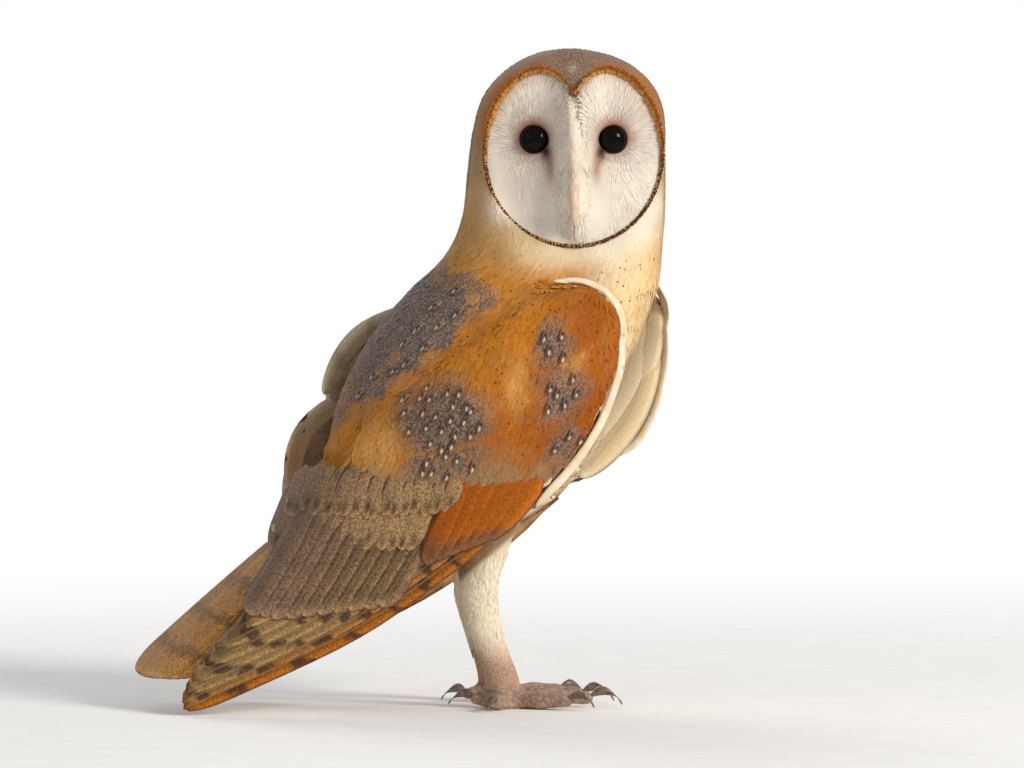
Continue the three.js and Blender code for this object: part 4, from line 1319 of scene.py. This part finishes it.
def bristle_tufts(seed):
    """Long soft bristles that spring from both sides of the bill's ridge, run down beside the bill
    and hide its root."""
    draw = np.random.default_rng(seed)
    count = 420
    side = np.where(draw.random(count) < 0.5, -1.0, 1.0)
    up = draw.uniform(-26, 4, count)
    across = side * (draw.uniform(0.0, 1.0, count) ** 0.8) * (3.0 + 4.5 * ramp(-up, -4, 24))
    root = face_place(across, up, -0.5)
    lean = side * (0.05 + 0.35 * ramp(np.abs(across), 1, 8)) * draw.uniform(0.4, 1.2, count)
    way = unit(face_place(across + 3 * lean, up - 3, -0.5) - root + [0, -0.3, 0])
    normal = unit(np.stack([side * 0.25, -1 + 0 * lean, 0.15 + 0 * lean], -1))
    normal = unit(normal - way * (normal * way).sum(1, keepdims=True))
    cross = np.cross(normal, way)
    long = draw.uniform(5, 8, count)
    wide = draw.uniform(0.9, 1.3, count)
    v = TUFT_ALONG[None]
    out = long[:, None] * v
    drift = (0.02 * side * draw.uniform(0, 1, count))[:, None]
    lateral = wide[:, None] / 2 * TUFT_WIDE * TUFT_SIDE - drift * out * v
    lift = TUFT_RISE * TUFT_WIDE * 0.05 - 0.012 * out**2
    places = tuft_places(root, way, cross, normal, out, lateral, lift)
    base = mix(np.broadcast_to(COLOUR["white"], root.shape), COLOUR["ochre"],
               0.6 * bell(across, 3) * bell(up + 4, 9) * draw.random(count))
    tints = np.broadcast_to(base[:, None], places.shape)
    patch = np.stack([across / 40 + 0.5, up / 40 + 0.8], -1)
    shading = shaded_softly(normal, way, cross, draw)
    return whole_tufts(places, tints, np.zeros(places.shape), patch, shading)


def standing_place(skin, wing, down, reach):
    """The places and normals on the skin seen from the wing's side at its coordinates. A place with
    no skin near it is left out."""
    sign = wing["side"]
    faced = np.flatnonzero((sign * skin["normal"][:, 1] > 0.62) & (skin["middle"][:, 2] > 60))
    a, b = wing_coordinates(wing, skin["middle"][faced, 0], skin["middle"][faced, 2])
    far = sign * skin["middle"][faced, 1]
    found = []
    for d, r in zip(down, reach):
        near = np.flatnonzero(np.hypot(a - d, b - r) < 1.5)
        if len(near):
            found.append(faced[near[np.argmax(far[near])]])
    found = np.array(found)
    return skin["middle"][found], skin["normal"][found]


def drop_feathers(name, skin, wing, grid, long, wide, lie, material, nodes, seed):
    """Feathers that each carry a drop, white with black round it, near the tip, in rows. Only those
    whose tips lie on grey are kept."""
    draw = np.random.default_rng(seed)
    places, normals = standing_place(skin, wing, *grid.T)
    ways = lie(places, normals)
    ways = unit(ways - normals * (ways * normals).sum(1, keepdims=True))
    kept = any_paint(places + 0.75 * long * ways, normals)[1][:, 0] > 0.6
    places, normals, ways = places[kept], normals[kept], ways[kept]
    parts, whites, blacks, turned, cells = [], [], [], [], []
    side = math.ceil(math.sqrt(len(places)))
    for index, (root, normal, way) in enumerate(zip(places, normals, ways)):
        way, cross = swung(way, np.cross(normal, way), draw.normal(0, 0.12))
        size = draw.uniform(0.85, 1.15)

        def lay(a, b, height):
            """Lays the vane out from its root, over a gently falling back."""
            fall = 0.012 * a**2 / 2
            return root + way * a[..., None] + cross * b[..., None] + normal * (height - fall)[..., None]

        vane = laid_vane(lay, [(0, 0, -0.5), (long * size / 2, 0, 1.8), (long * size, 0, 2.6)], wide / 2,
                         wide / 2, 0.0, 0.25, 0.35, 0.5, 0.12)
        spots, faces, flat, patch = vane
        u, v = flat.T
        along = (1 - v) * long
        whites.append(1 - ramp(np.hypot(u * wide / 0.95, (along - 1.6) / 1.5), 0.5, 1.2))
        blacks.append(1 - ramp(np.hypot((u * wide - 0.4) / 2.1, (along - 3.2) / 2.6), 0.6, 1.1))
        turned.append(np.broadcast_to(normal, spots.shape))
        cells.append(own_cell(index, side, patch))
        parts.append((spots, faces))
    spots, faces = joined(parts)
    white, black = np.concatenate(whites), np.concatenate(blacks)
    base, mark = any_paint(spots, np.vstack(turned))
    mesh = make_mesh(name, spots, faces)
    set_colour(mesh, "tint", mix(mix(base, COLOUR["dark"], black * 0.9), COLOUR["white"], white))
    set_colour(mesh, "mark", mark * (1 - np.maximum(white, black))[:, None])
    set_uv(mesh, "OFBake", np.vstack(cells))
    return add_piece(name, mesh, material, nodes)


def lattice(downs, reaches, draw):
    """Places in staggered rows, each moved a little."""
    rows = [(d + (3 if i % 2 else -3) + draw.normal(0, 1.2), r + draw.normal(0, 0.9))
            for i, r in enumerate(reaches) for d in downs]
    return np.array(rows)


def grow_drops(skin, material):
    """Rows of drops on the mantle and on the grey patches of both wings."""
    for seed, (side, wing) in enumerate(WINGS.items()):
        draw = np.random.default_rng(600 + seed)
        chord, lead_way, _ = wing_axes(wing)
        grid = lattice(np.arange(20, 175, 12.5), np.arange(-25, -75, -7.5), draw)
        x, z = (wing["bend"][k] + grid[:, 0] * chord[k] + grid[:, 1] * lead_way[k] for k in range(2))
        grid = grid[mantle_share(np.stack([x, 0 * x, z], -1)) > 0.8]
        drop_feathers(f"mantle_drops_{side}", skin, wing, grid, 10, 4.4, body_lie, material,
                      ["trunk"], 610 + seed)
        grid = lattice(np.arange(8, 170, 9.0), np.arange(-30, 56, 6.5), draw)
        grey = wing_paint(grid[:, 0] + 5, grid[:, 1], np.zeros((len(grid), 3)))[1][:, 0]
        grid = grid[(grey > 0.35) & (row_line(*grid.T) < 92)]
        drop_feathers(f"wing_drops_{side}", skin, wing, grid, 8, 3.4, wing_lie(wing), material,
                      [f"wing_{side}"], 620 + seed)


# ---- Eyes, bill, toes and claws ----------------------------------------------------------------


def ball(centre, radius, rows=40, columns=64):
    """A sphere as rings round its own front-to-back axis, its ends closed by fans."""
    polar = np.linspace(0.02, np.pi - 0.02, rows)[:, None]
    turn = np.linspace(0, 2 * np.pi, columns, endpoint=False)[None]
    around = np.sin(polar)
    rings = np.stack([around * np.cos(turn), -np.cos(polar) + 0 * turn, around * np.sin(turn)], -1)
    return closed_tube(np.asarray(centre) + radius * rings)


def eye_opening(turn):
    """The half width of the opening between an eye's lids, by the angle round it from its outer
    corner: a circle drawn out to a low inner corner."""
    return 6.6 + 1.0 * bell(np.angle(np.exp(1j * (turn - np.radians(218)))), 0.4)


def eye_lids(side):
    """The lids round an eye: a rolled rim of skin that rests on the ball, and a skirt that goes
    down under the feathers of the face."""
    low, high = node_box(f"eye_{side}")
    centre = (low + high) / 2
    radius = (high[0] - low[0]) / 2
    sign = SIDES[side]
    turn = np.linspace(0, 2 * np.pi, 96, endpoint=False)[None]
    roll = np.linspace(0, 2 * np.pi, 14, endpoint=False)[:, None]
    opening = eye_opening(turn)
    around = opening + 0.3 + 0.32 * np.cos(roll)
    ahead = np.sqrt(np.maximum(radius**2 - opening**2, 1.0))
    depth = ahead + 0.05 + 0.32 * np.sin(roll) - 0.9 * ramp(np.cos(roll), 0, 1)
    rings = np.stack([centre[0] + sign * around * np.cos(turn), centre[1] - depth,
                      centre[2] + around * np.sin(turn)], -1)
    return closed_ring(rings)


def orbit(side):
    """The bare ring in which an eye sits: a flat ring under the feathers of the face."""
    turn = np.linspace(0, 2 * np.pi, 72, endpoint=False)[None]
    around = np.array([6.9, 8.6, 11.5, 14.0, 14.0, 11.5, 8.6, 6.9])[:, None]
    height = np.array([0.1, -0.35, -0.6, -0.75, -1.4, -1.3, -1.1, -0.8])[:, None]
    across = SIDES[side] * EYE_ACROSS + around * np.cos(turn)
    rings = face_place(across, EYE_UP + around * np.sin(turn), height + 0 * turn)
    return closed_ring(rings)


def claw(toe, side):
    """A claw: rings round an arc that springs up from the end of its toe and curls down to a
    point, deeper than it is wide."""
    step = np.linspace(0, 1, 36)[:, None]
    turn = np.linspace(0, 2 * np.pi, 20, endpoint=False)[None]
    rise, fall = math.radians(CLAW["rise"]), math.radians(CLAW["fall"])
    angle = rise + (fall - rise) * step
    radius = toe["claw"] / (rise - fall)
    out = TOE_START + toe["length"] - CLAW["inset"] + radius * (math.sin(rise) - np.sin(angle))
    up = toe["radius"] + CLAW["lift"] + radius * (np.cos(angle) - math.cos(rise))
    thick = CLAW["root"] * (1 - step**1.8) ** 0.8 + CLAW["tip"]
    deep = thick * 1.1 * np.sin(turn)
    rings = toe_frame(toe, side)(out + deep * np.sin(angle), thick * 0.85 * np.cos(turn),
                                 up + deep * np.cos(angle))
    rings[..., 2] = np.maximum(rings[..., 2], 0.05)
    return closed_tube(rings)


# ---- Materials ---------------------------------------------------------------------------------


def put(tree, kind, inputs=None, **settings):
    """A shader node with its settings, and its inputs set to numbers or linked to sockets."""
    made = tree.nodes.new(kind)
    for key, value in settings.items():
        setattr(made, key, value)
    for key, value in (inputs or {}).items():
        if isinstance(value, bpy.types.NodeSocket):
            tree.links.new(value, made.inputs[key])
        else:
            made.inputs[key].default_value = value
    return made


def math_node(tree, operation, *values):
    """A sum, product or other function of numbers or sockets."""
    return put(tree, "ShaderNodeMath", dict(enumerate(values)), operation=operation).outputs[0]


def span_node(tree, value, low, high, to_low=0.0, to_high=1.0):
    """A value taken evenly from between low and high to between to_low and to_high, and held there."""
    return put(tree, "ShaderNodeMapRange", {"Value": value, "From Min": low, "From Max": high,
                                            "To Min": to_low, "To Max": to_high}).outputs[0]


def blend_node(tree, share, a, b, how="MIX"):
    """Colour a turned by a share into colour b, or into a blend of both."""
    made = put(tree, "ShaderNodeMix", data_type="RGBA", blend_type=how)
    for socket, value in ((made.inputs[0], share), (made.inputs[6], a), (made.inputs[7], b)):
        if isinstance(value, bpy.types.NodeSocket):
            tree.links.new(value, socket)
        else:
            socket.default_value = value
    return made.outputs[2]


def noise_node(tree, place, scale, detail=2.0, rough=0.5):
    """Noise from 0 to 1, with scale cells to the metre."""
    return put(tree, "ShaderNodeTexNoise", {"Vector": place, "Scale": scale, "Detail": detail,
                                            "Roughness": rough}).outputs[0]


def grey_node(tree, value):
    """A value as a grey colour."""
    return put(tree, "ShaderNodeCombineColor", {0: value, 1: value, 2: value}).outputs[0]


def rgba(colour, light=1.0):
    """A colour with its fourth number, for a socket."""
    return (*(float(c) * light for c in colour), 1.0)


def new_group(name, inputs, outputs):
    """A shader node group with its sockets, and its two end nodes."""
    tree = bpy.data.node_groups.new(name, "ShaderNodeTree")
    for label, kind in inputs:
        tree.interface.new_socket(label, in_out="INPUT", socket_type=kind)
    for label, kind in outputs:
        tree.interface.new_socket(label, in_out="OUTPUT", socket_type=kind)
    return tree, tree.nodes.new("NodeGroupInput"), tree.nodes.new("NodeGroupOutput")


COLOUR_SOCKET, VALUE_SOCKET, PLACE_SOCKET = "NodeSocketColor", "NodeSocketFloat", "NodeSocketVector"


def plumage_group():
    """Feather colour from a tint and its marks: grey feathers are finely mottled light and dark,
    specks are small and dark, and bare skin is granular, or scaly where it is also grey. Gives the
    colour and a height."""
    tree, given, made = new_group("Plumage", [("Tint", COLOUR_SOCKET), ("Mark", COLOUR_SOCKET),
                                              ("Place", PLACE_SOCKET)],
                                  [("Color", COLOUR_SOCKET), ("Height", VALUE_SOCKET)])
    tint_in, mark, place = given.outputs[:3]
    marks = put(tree, "ShaderNodeSeparateColor", {"Color": mark}).outputs
    mottle = span_node(tree, noise_node(tree, place, 900.0, 3.0), 0.42, 0.58)
    darker, paler = (blend_node(tree, 1.0, tint_in, rgba(times), "MULTIPLY")
                     for times in ((0.55, 0.55, 0.57), (1.32, 1.36, 1.42)))
    mottled = blend_node(tree, mottle, darker, paler)
    colour = blend_node(tree, marks[0], tint_in, mottled)
    dots = put(tree, "ShaderNodeTexVoronoi", {"Vector": place, "Scale": 215.0}, feature="F1").outputs[0]
    speck = math_node(tree, "MULTIPLY", span_node(tree, dots, 0.17, 0.1), marks[1])
    colour = blend_node(tree, speck, colour, rgba(COLOUR["dark"]))
    broad = span_node(tree, noise_node(tree, place, 70.0, 2.0), 0.3, 0.7, 0.92, 1.08)
    colour = blend_node(tree, 1.0, colour, grey_node(tree, broad), "MULTIPLY")
    granules, scales = (span_node(tree, put(tree, "ShaderNodeTexVoronoi", {"Vector": place, "Scale": scale},
                                            feature="F1").outputs[0], 0.0, 0.75, 1.0, 0.0)
                        for scale in (950.0, 430.0))
    grains = put(tree, "ShaderNodeMix", {0: marks[0], 2: granules, 3: scales}, data_type="FLOAT").outputs[0]
    fine = noise_node(tree, place, 2600.0, 2.0)
    lights = {k: span_node(tree, grains, 0.0, 1.0, low, 1.15) for k, low in enumerate((0.64, 0.6, 0.57))}
    grained = put(tree, "ShaderNodeCombineColor", lights).outputs[0]
    bare = blend_node(tree, 1.0, tint_in, grained, "MULTIPLY")
    tree.links.new(blend_node(tree, marks[2], colour, bare), made.inputs["Color"])
    height = put(tree, "ShaderNodeMix", {0: marks[2], 2: fine, 3: math_node(tree, "MULTIPLY", grains, 3.0)},
                 data_type="FLOAT").outputs[0]
    tree.links.new(height, made.inputs["Height"])
    return tree


def flight_group():
    """A flight feather's colour from a tint and its marks, by its webs' places: dark bars across
    it each 25 mm, fine mottling, slanting barbs, and an olive shaft. Its marks are the shares of the
    bars, the mottling and the shaft. Gives the colour and a height."""
    tree, given, made = new_group("Flight", [("Tint", COLOUR_SOCKET), ("Mark", COLOUR_SOCKET),
                                             ("Place", PLACE_SOCKET), ("Web", PLACE_SOCKET)],
                                  [("Color", COLOUR_SOCKET), ("Height", VALUE_SOCKET)])
    tint_in, mark, place, web = given.outputs[:4]
    marks = put(tree, "ShaderNodeSeparateColor", {"Color": mark}).outputs
    u, v, _ = put(tree, "ShaderNodeSeparateXYZ", {"Vector": web}).outputs
    out = math_node(tree, "ABSOLUTE", math_node(tree, "MULTIPLY_ADD", u, 2.0, -1.0))
    drift = span_node(tree, noise_node(tree, place, 160.0, 3.0), 0.3, 0.7, -0.14, 0.14)
    lengthwise = math_node(tree, "ADD", math_node(tree, "MULTIPLY_ADD", v, 4.0, drift),
                           math_node(tree, "MULTIPLY", out, 0.12))
    phase = math_node(tree, "FRACT", lengthwise)
    swing = math_node(tree, "ABSOLUTE", math_node(tree, "SUBTRACT", phase, 0.5))
    bar = math_node(tree, "MULTIPLY", span_node(tree, swing, 0.2, 0.06), marks[0])
    bar = math_node(tree, "MULTIPLY", bar, span_node(tree, out, 1.0, 0.75, 0.35, 1.0))
    mottle = span_node(tree, noise_node(tree, place, 1000.0, 3.0), 0.4, 0.6)
    darker, paler = (blend_node(tree, 1.0, tint_in, rgba(times), "MULTIPLY")
                     for times in ((0.5, 0.46, 0.44), (1.45, 1.43, 1.4)))
    mottled = blend_node(tree, mottle, darker, paler)
    colour = blend_node(tree, math_node(tree, "MULTIPLY", marks[1], 0.8), tint_in, mottled)
    colour = blend_node(tree, math_node(tree, "MULTIPLY", bar, 0.85), colour, rgba(COLOUR["dark"]))
    slant = math_node(tree, "MULTIPLY_ADD", v, 115.0, math_node(tree, "MULTIPLY", out, -7.0))
    barb = math_node(tree, "SINE", math_node(tree, "MULTIPLY", slant, 6.2832))
    shade = span_node(tree, barb, -1.0, 1.0, 0.9, 1.06)
    colour = blend_node(tree, 1.0, colour, grey_node(tree, shade), "MULTIPLY")
    shaft = math_node(tree, "MULTIPLY", span_node(tree, out, 0.1, 0.05), marks[2])
    colour = blend_node(tree, shaft, colour, rgba(COLOUR["olive"], 1.2))
    tree.links.new(colour, made.inputs["Color"])
    tree.links.new(math_node(tree, "MULTIPLY_ADD", barb, 0.25, 0.5), made.inputs["Height"])
    return tree


def new_material(name, **shader):
    """A material, its node tree and its Principled shader, with the shader's numbers set."""
    material = bpy.data.materials.new(name)
    material.use_nodes = True
    tree = material.node_tree
    shaded = tree.nodes["Principled BSDF"]
    for key, value in shader.items():
        shaded.inputs[key.replace("_", " ")].default_value = value
    return material, tree, shaded


def feather_material(name, group, web):
    """A feather material from a group, the mesh's tint and mark, and for webs their Vane map."""
    material, tree, shaded = new_material(name, Roughness=0.7, Specular_IOR_Level=0.12, Sheen_Weight=0.06,
                                          Sheen_Roughness=0.5)
    place = put(tree, "ShaderNodeTexCoord").outputs["Object"]
    given = {"Tint": put(tree, "ShaderNodeAttribute", attribute_name="tint").outputs["Color"],
             "Mark": put(tree, "ShaderNodeAttribute", attribute_name="mark").outputs["Color"], "Place": place}
    if web:
        given["Web"] = put(tree, "ShaderNodeUVMap", uv_map="Vane").outputs["UV"]
    made = put(tree, "ShaderNodeGroup", node_tree=group)
    for key, value in given.items():
        tree.links.new(value, made.inputs[key])
    tree.links.new(made.outputs["Color"], shaded.inputs["Base Color"])
    bump = put(tree, "ShaderNodeBump", {"Height": made.outputs["Height"], "Strength": 0.5,
                                        "Distance": 0.0003})
    tree.links.new(bump.outputs[0], shaded.inputs["Normal"])
    return material


def horn_material(name, low, high, scale, rough, shine=0.45):
    """Horn or bare skin with a fine grain between two colours, higher and rougher in the paler."""
    material, tree, shaded = new_material(name, Roughness=rough, Specular_IOR_Level=shine)
    place = put(tree, "ShaderNodeTexCoord").outputs["Object"]
    streak = span_node(tree, noise_node(tree, place, scale, 4.0, 0.6), 0.3, 0.7)
    colour = blend_node(tree, streak, rgba(low), rgba(high))
    tree.links.new(colour, shaded.inputs["Base Color"])
    tree.links.new(span_node(tree, streak, 0.0, 1.0, rough - 0.08, rough + 0.1), shaded.inputs["Roughness"])
    bump = put(tree, "ShaderNodeBump", {"Height": streak, "Strength": 0.25, "Distance": 0.0002})
    tree.links.new(bump.outputs[0], shaded.inputs["Normal"])
    return material


def eye_material():
    """A nearly black eye, wet and smooth, with a faint grain of two dark browns."""
    material, tree, shaded = new_material("eye_gloss", Roughness=0.06, Specular_IOR_Level=0.1)
    place = put(tree, "ShaderNodeTexCoord").outputs["Object"]
    grain = span_node(tree, noise_node(tree, place, 900.0, 3.0), 0.35, 0.65)
    colour = blend_node(tree, grain, rgba((0.002, 0.0015, 0.0015)), rgba((0.006, 0.004, 0.003)))
    tree.links.new(colour, shaded.inputs["Base Color"])
    return material


# ---- The owl -----------------------------------------------------------------------------------

plumage = feather_material("soft_plumage", plumage_group(), False)
flight = feather_material("flight_feathers", flight_group(), True)
claw_horn = horn_material("claw_horn", tint(70, 50, 42), tint(132, 112, 98), 420.0, 0.3)
bill_horn = horn_material("bill_horn", tint(214, 178, 156), tint(232, 206, 184), 320.0, 0.38)
lid_skin = horn_material("lid_skin", tint(16, 10, 8), tint(30, 19, 14), 1500.0, 0.6, 0.1)
eye_gloss = eye_material()

skin = grow_skin()
skin_mesh = make_mesh("owl_skin", skin["places"], skin["faces"])
base, mark = any_paint(skin["places"], skin["normals"])
# The skin is painted 8 % darker wherever the coat covers it, above the bare feet: painted shade in the gaps
# between the tufts.
set_colour(skin_mesh, "tint", base * np.where(skin["places"][:, 2:] > 30, 0.92, 1.0))
set_colour(skin_mesh, "mark", mark)
skin_piece = add_piece("owl_skin", skin_mesh, plumage, skin["replaced"])
skin["uv"] = unwrap(skin_piece)
measure(skin)
grow_coats(skin, plumage)
coat("face_ruff", plumage, ["facial_disc"], [rim_tufts(400)])
coat("bill_bristles", plumage, ["facial_disc"], [bristle_tufts(420)])
grow_face(plumage)
grow_drops(skin, plumage)
for side, wing in WINGS.items():
    feather_piece(f"flight_feathers_{side}", flight, [f"wing_{side}"],
                  flight_feathers(wing), 501)
    feather_piece(f"greater_coverts_{side}", flight, [f"wing_{side}"],
                  covert_feathers(wing, 510), 511)
    feather_piece(f"wing_lining_{side}", flight, [f"wing_{side}"],
                  lining_feathers(wing, LININGS[side], 530), 531,
                  mix(COLOUR["wing_grey"], COLOUR["olive"], 0.4), 0.9, (0.4, 0.9, 0.1))
    edge_roll(wing, f"wing_edge_{side}", plumage)
feather_piece("tail_feathers", flight, ["tail"], tail_feathers(), 521)

for side in SIDES:
    low, high = node_box(f"eye_{side}")
    eyeball = make_mesh(f"eyeball_{side}", *ball((low + high) / 2, (high[0] - low[0]) / 2))
    add_piece(f"eyeball_{side}", eyeball, eye_gloss, [f"eye_{side}"])
    ring = make_mesh(f"orbit_{side}", *orbit(side))
    ring_places = read_mesh(ring)[0]
    # The ring takes the face's colours painted a tenth darker: painted shade beneath the face's barbs.
    set_colour(ring, "tint", face_paint(ring_places, ring_places)[0] * 0.9)
    set_colour(ring, "mark", 0.0)
    add_piece(f"orbit_{side}", ring, plumage)
    add_piece(f"eyelids_{side}", make_mesh(f"eyelids_{side}", *eye_lids(side)), lid_skin)
for name in ("bill_upper", "bill_lower"):
    add_piece(f"{name}_horn", make_mesh(f"{name}_horn", *cad_copy(name, 0.0)), bill_horn, [name])
claws = joined([claw(toe, sign) for toe in TOES.values() for sign in SIDES.values()])
add_piece("claws", make_mesh("claws", *claws), claw_horn,
          [f"claw_{toe}_{side}" for toe in TOES for side in SIDES])

# ---- Floor, light and camera -------------------------------------------------------------------


def floor_material():
    """Pale matt floor round the owl that fades with distance into plain white."""
    material, tree, shaded = new_material("floor_paint", Roughness=0.9, Specular_IOR_Level=0.1)
    place = put(tree, "ShaderNodeTexCoord").outputs["Object"]
    grain = span_node(tree, noise_node(tree, place, 40.0, 5.0), 0.3, 0.7, 0.9, 0.94)
    tree.links.new(grey_node(tree, grain), shaded.inputs["Base Color"])
    far = put(tree, "ShaderNodeVectorMath", {0: place}, operation="LENGTH").outputs["Value"]
    fade = put(tree, "ShaderNodeMapRange", {"Value": far, "From Min": 0.35, "From Max": 1.3},
               interpolation_type="SMOOTHSTEP").outputs[0]
    glow = put(tree, "ShaderNodeEmission", {"Color": (1, 1, 1, 1), "Strength": 1.0}).outputs[0]
    clear = put(tree, "ShaderNodeBsdfTransparent").outputs[0]
    seen = put(tree, "ShaderNodeLightPath").outputs["Is Camera Ray"]
    distant = put(tree, "ShaderNodeMixShader", {0: seen, 1: clear, 2: glow}).outputs[0]
    whole = put(tree, "ShaderNodeMixShader", {0: fade, 1: shaded.outputs[0], 2: distant}).outputs[0]
    tree.links.new(whole, tree.nodes["Material Output"].inputs["Surface"])
    return material


def floor_mesh(radius=2500, count=96):
    """A flat disc: a fan of triangles round its middle."""
    turn = np.linspace(0, 2 * np.pi, count, endpoint=False)
    rim = radius * np.stack([np.cos(turn), np.sin(turn), 0 * turn], -1)
    edge = 1 + np.arange(count)
    faces = np.stack([0 * edge, edge, np.roll(edge, -1)], -1)
    return make_mesh("floor", np.vstack([[0, 0, 0], rim]), faces)


floor = bpy.data.objects.new("floor", floor_mesh())
floor.data.materials.append(floor_material())
bpy.context.scene.collection.objects.link(floor)

target = Vector((3.2, MIDLINE, 170.7)) * MM


def soft_light(name, place, power, size, colour=(1, 1, 1)):
    """A square area light that looks at the middle of the owl."""
    light = bpy.data.lights.new(name, "AREA")
    light.shape, light.size, light.energy, light.color = "SQUARE", size, power, colour
    lamp = bpy.data.objects.new(name, light)
    lamp.location = place
    lamp.rotation_euler = (target - Vector(place)).to_track_quat("-Z", "Y").to_euler()
    bpy.context.scene.collection.objects.link(lamp)
    return lamp


lamps = [soft_light("key_light", (2.2, -1.7, 1.6), 76, 1.0, (1.0, 0.96, 0.89)),
         soft_light("fill_light", (-2.0, -1.6, 1.0), 4, 1.6),
         soft_light("back_light", (-0.8, 2.2, 1.6), 22, 1.4)]

world = bpy.data.worlds.new("soft_room")
world.use_nodes = True
bpy.context.scene.world = world
room = world.node_tree
path = put(room, "ShaderNodeLightPath").outputs
plain = math_node(room, "MAXIMUM", path["Is Camera Ray"], path["Is Transmission Ray"])
shade = room.nodes["Background"]
room.links.new(span_node(room, plain, 0.0, 1.0, 0.42, 1.0), shade.inputs["Strength"])
shade.inputs["Color"].default_value = (1, 1, 1, 1)

camera = bpy.data.objects.new("camera", bpy.data.cameras.new("camera"))
camera.data.lens, camera.data.sensor_width = 265, 36
sink, away = math.radians(2), 4
camera.location = target + Vector((0, -away * math.cos(sink), away * math.sin(sink)))
camera.rotation_euler = (target - camera.location).to_track_quat("-Z", "Y").to_euler()
camera.data.clip_end = 30
bpy.context.scene.collection.objects.link(camera)
bpy.context.scene.camera = camera
bpy.context.scene.view_settings.view_transform = "Standard"
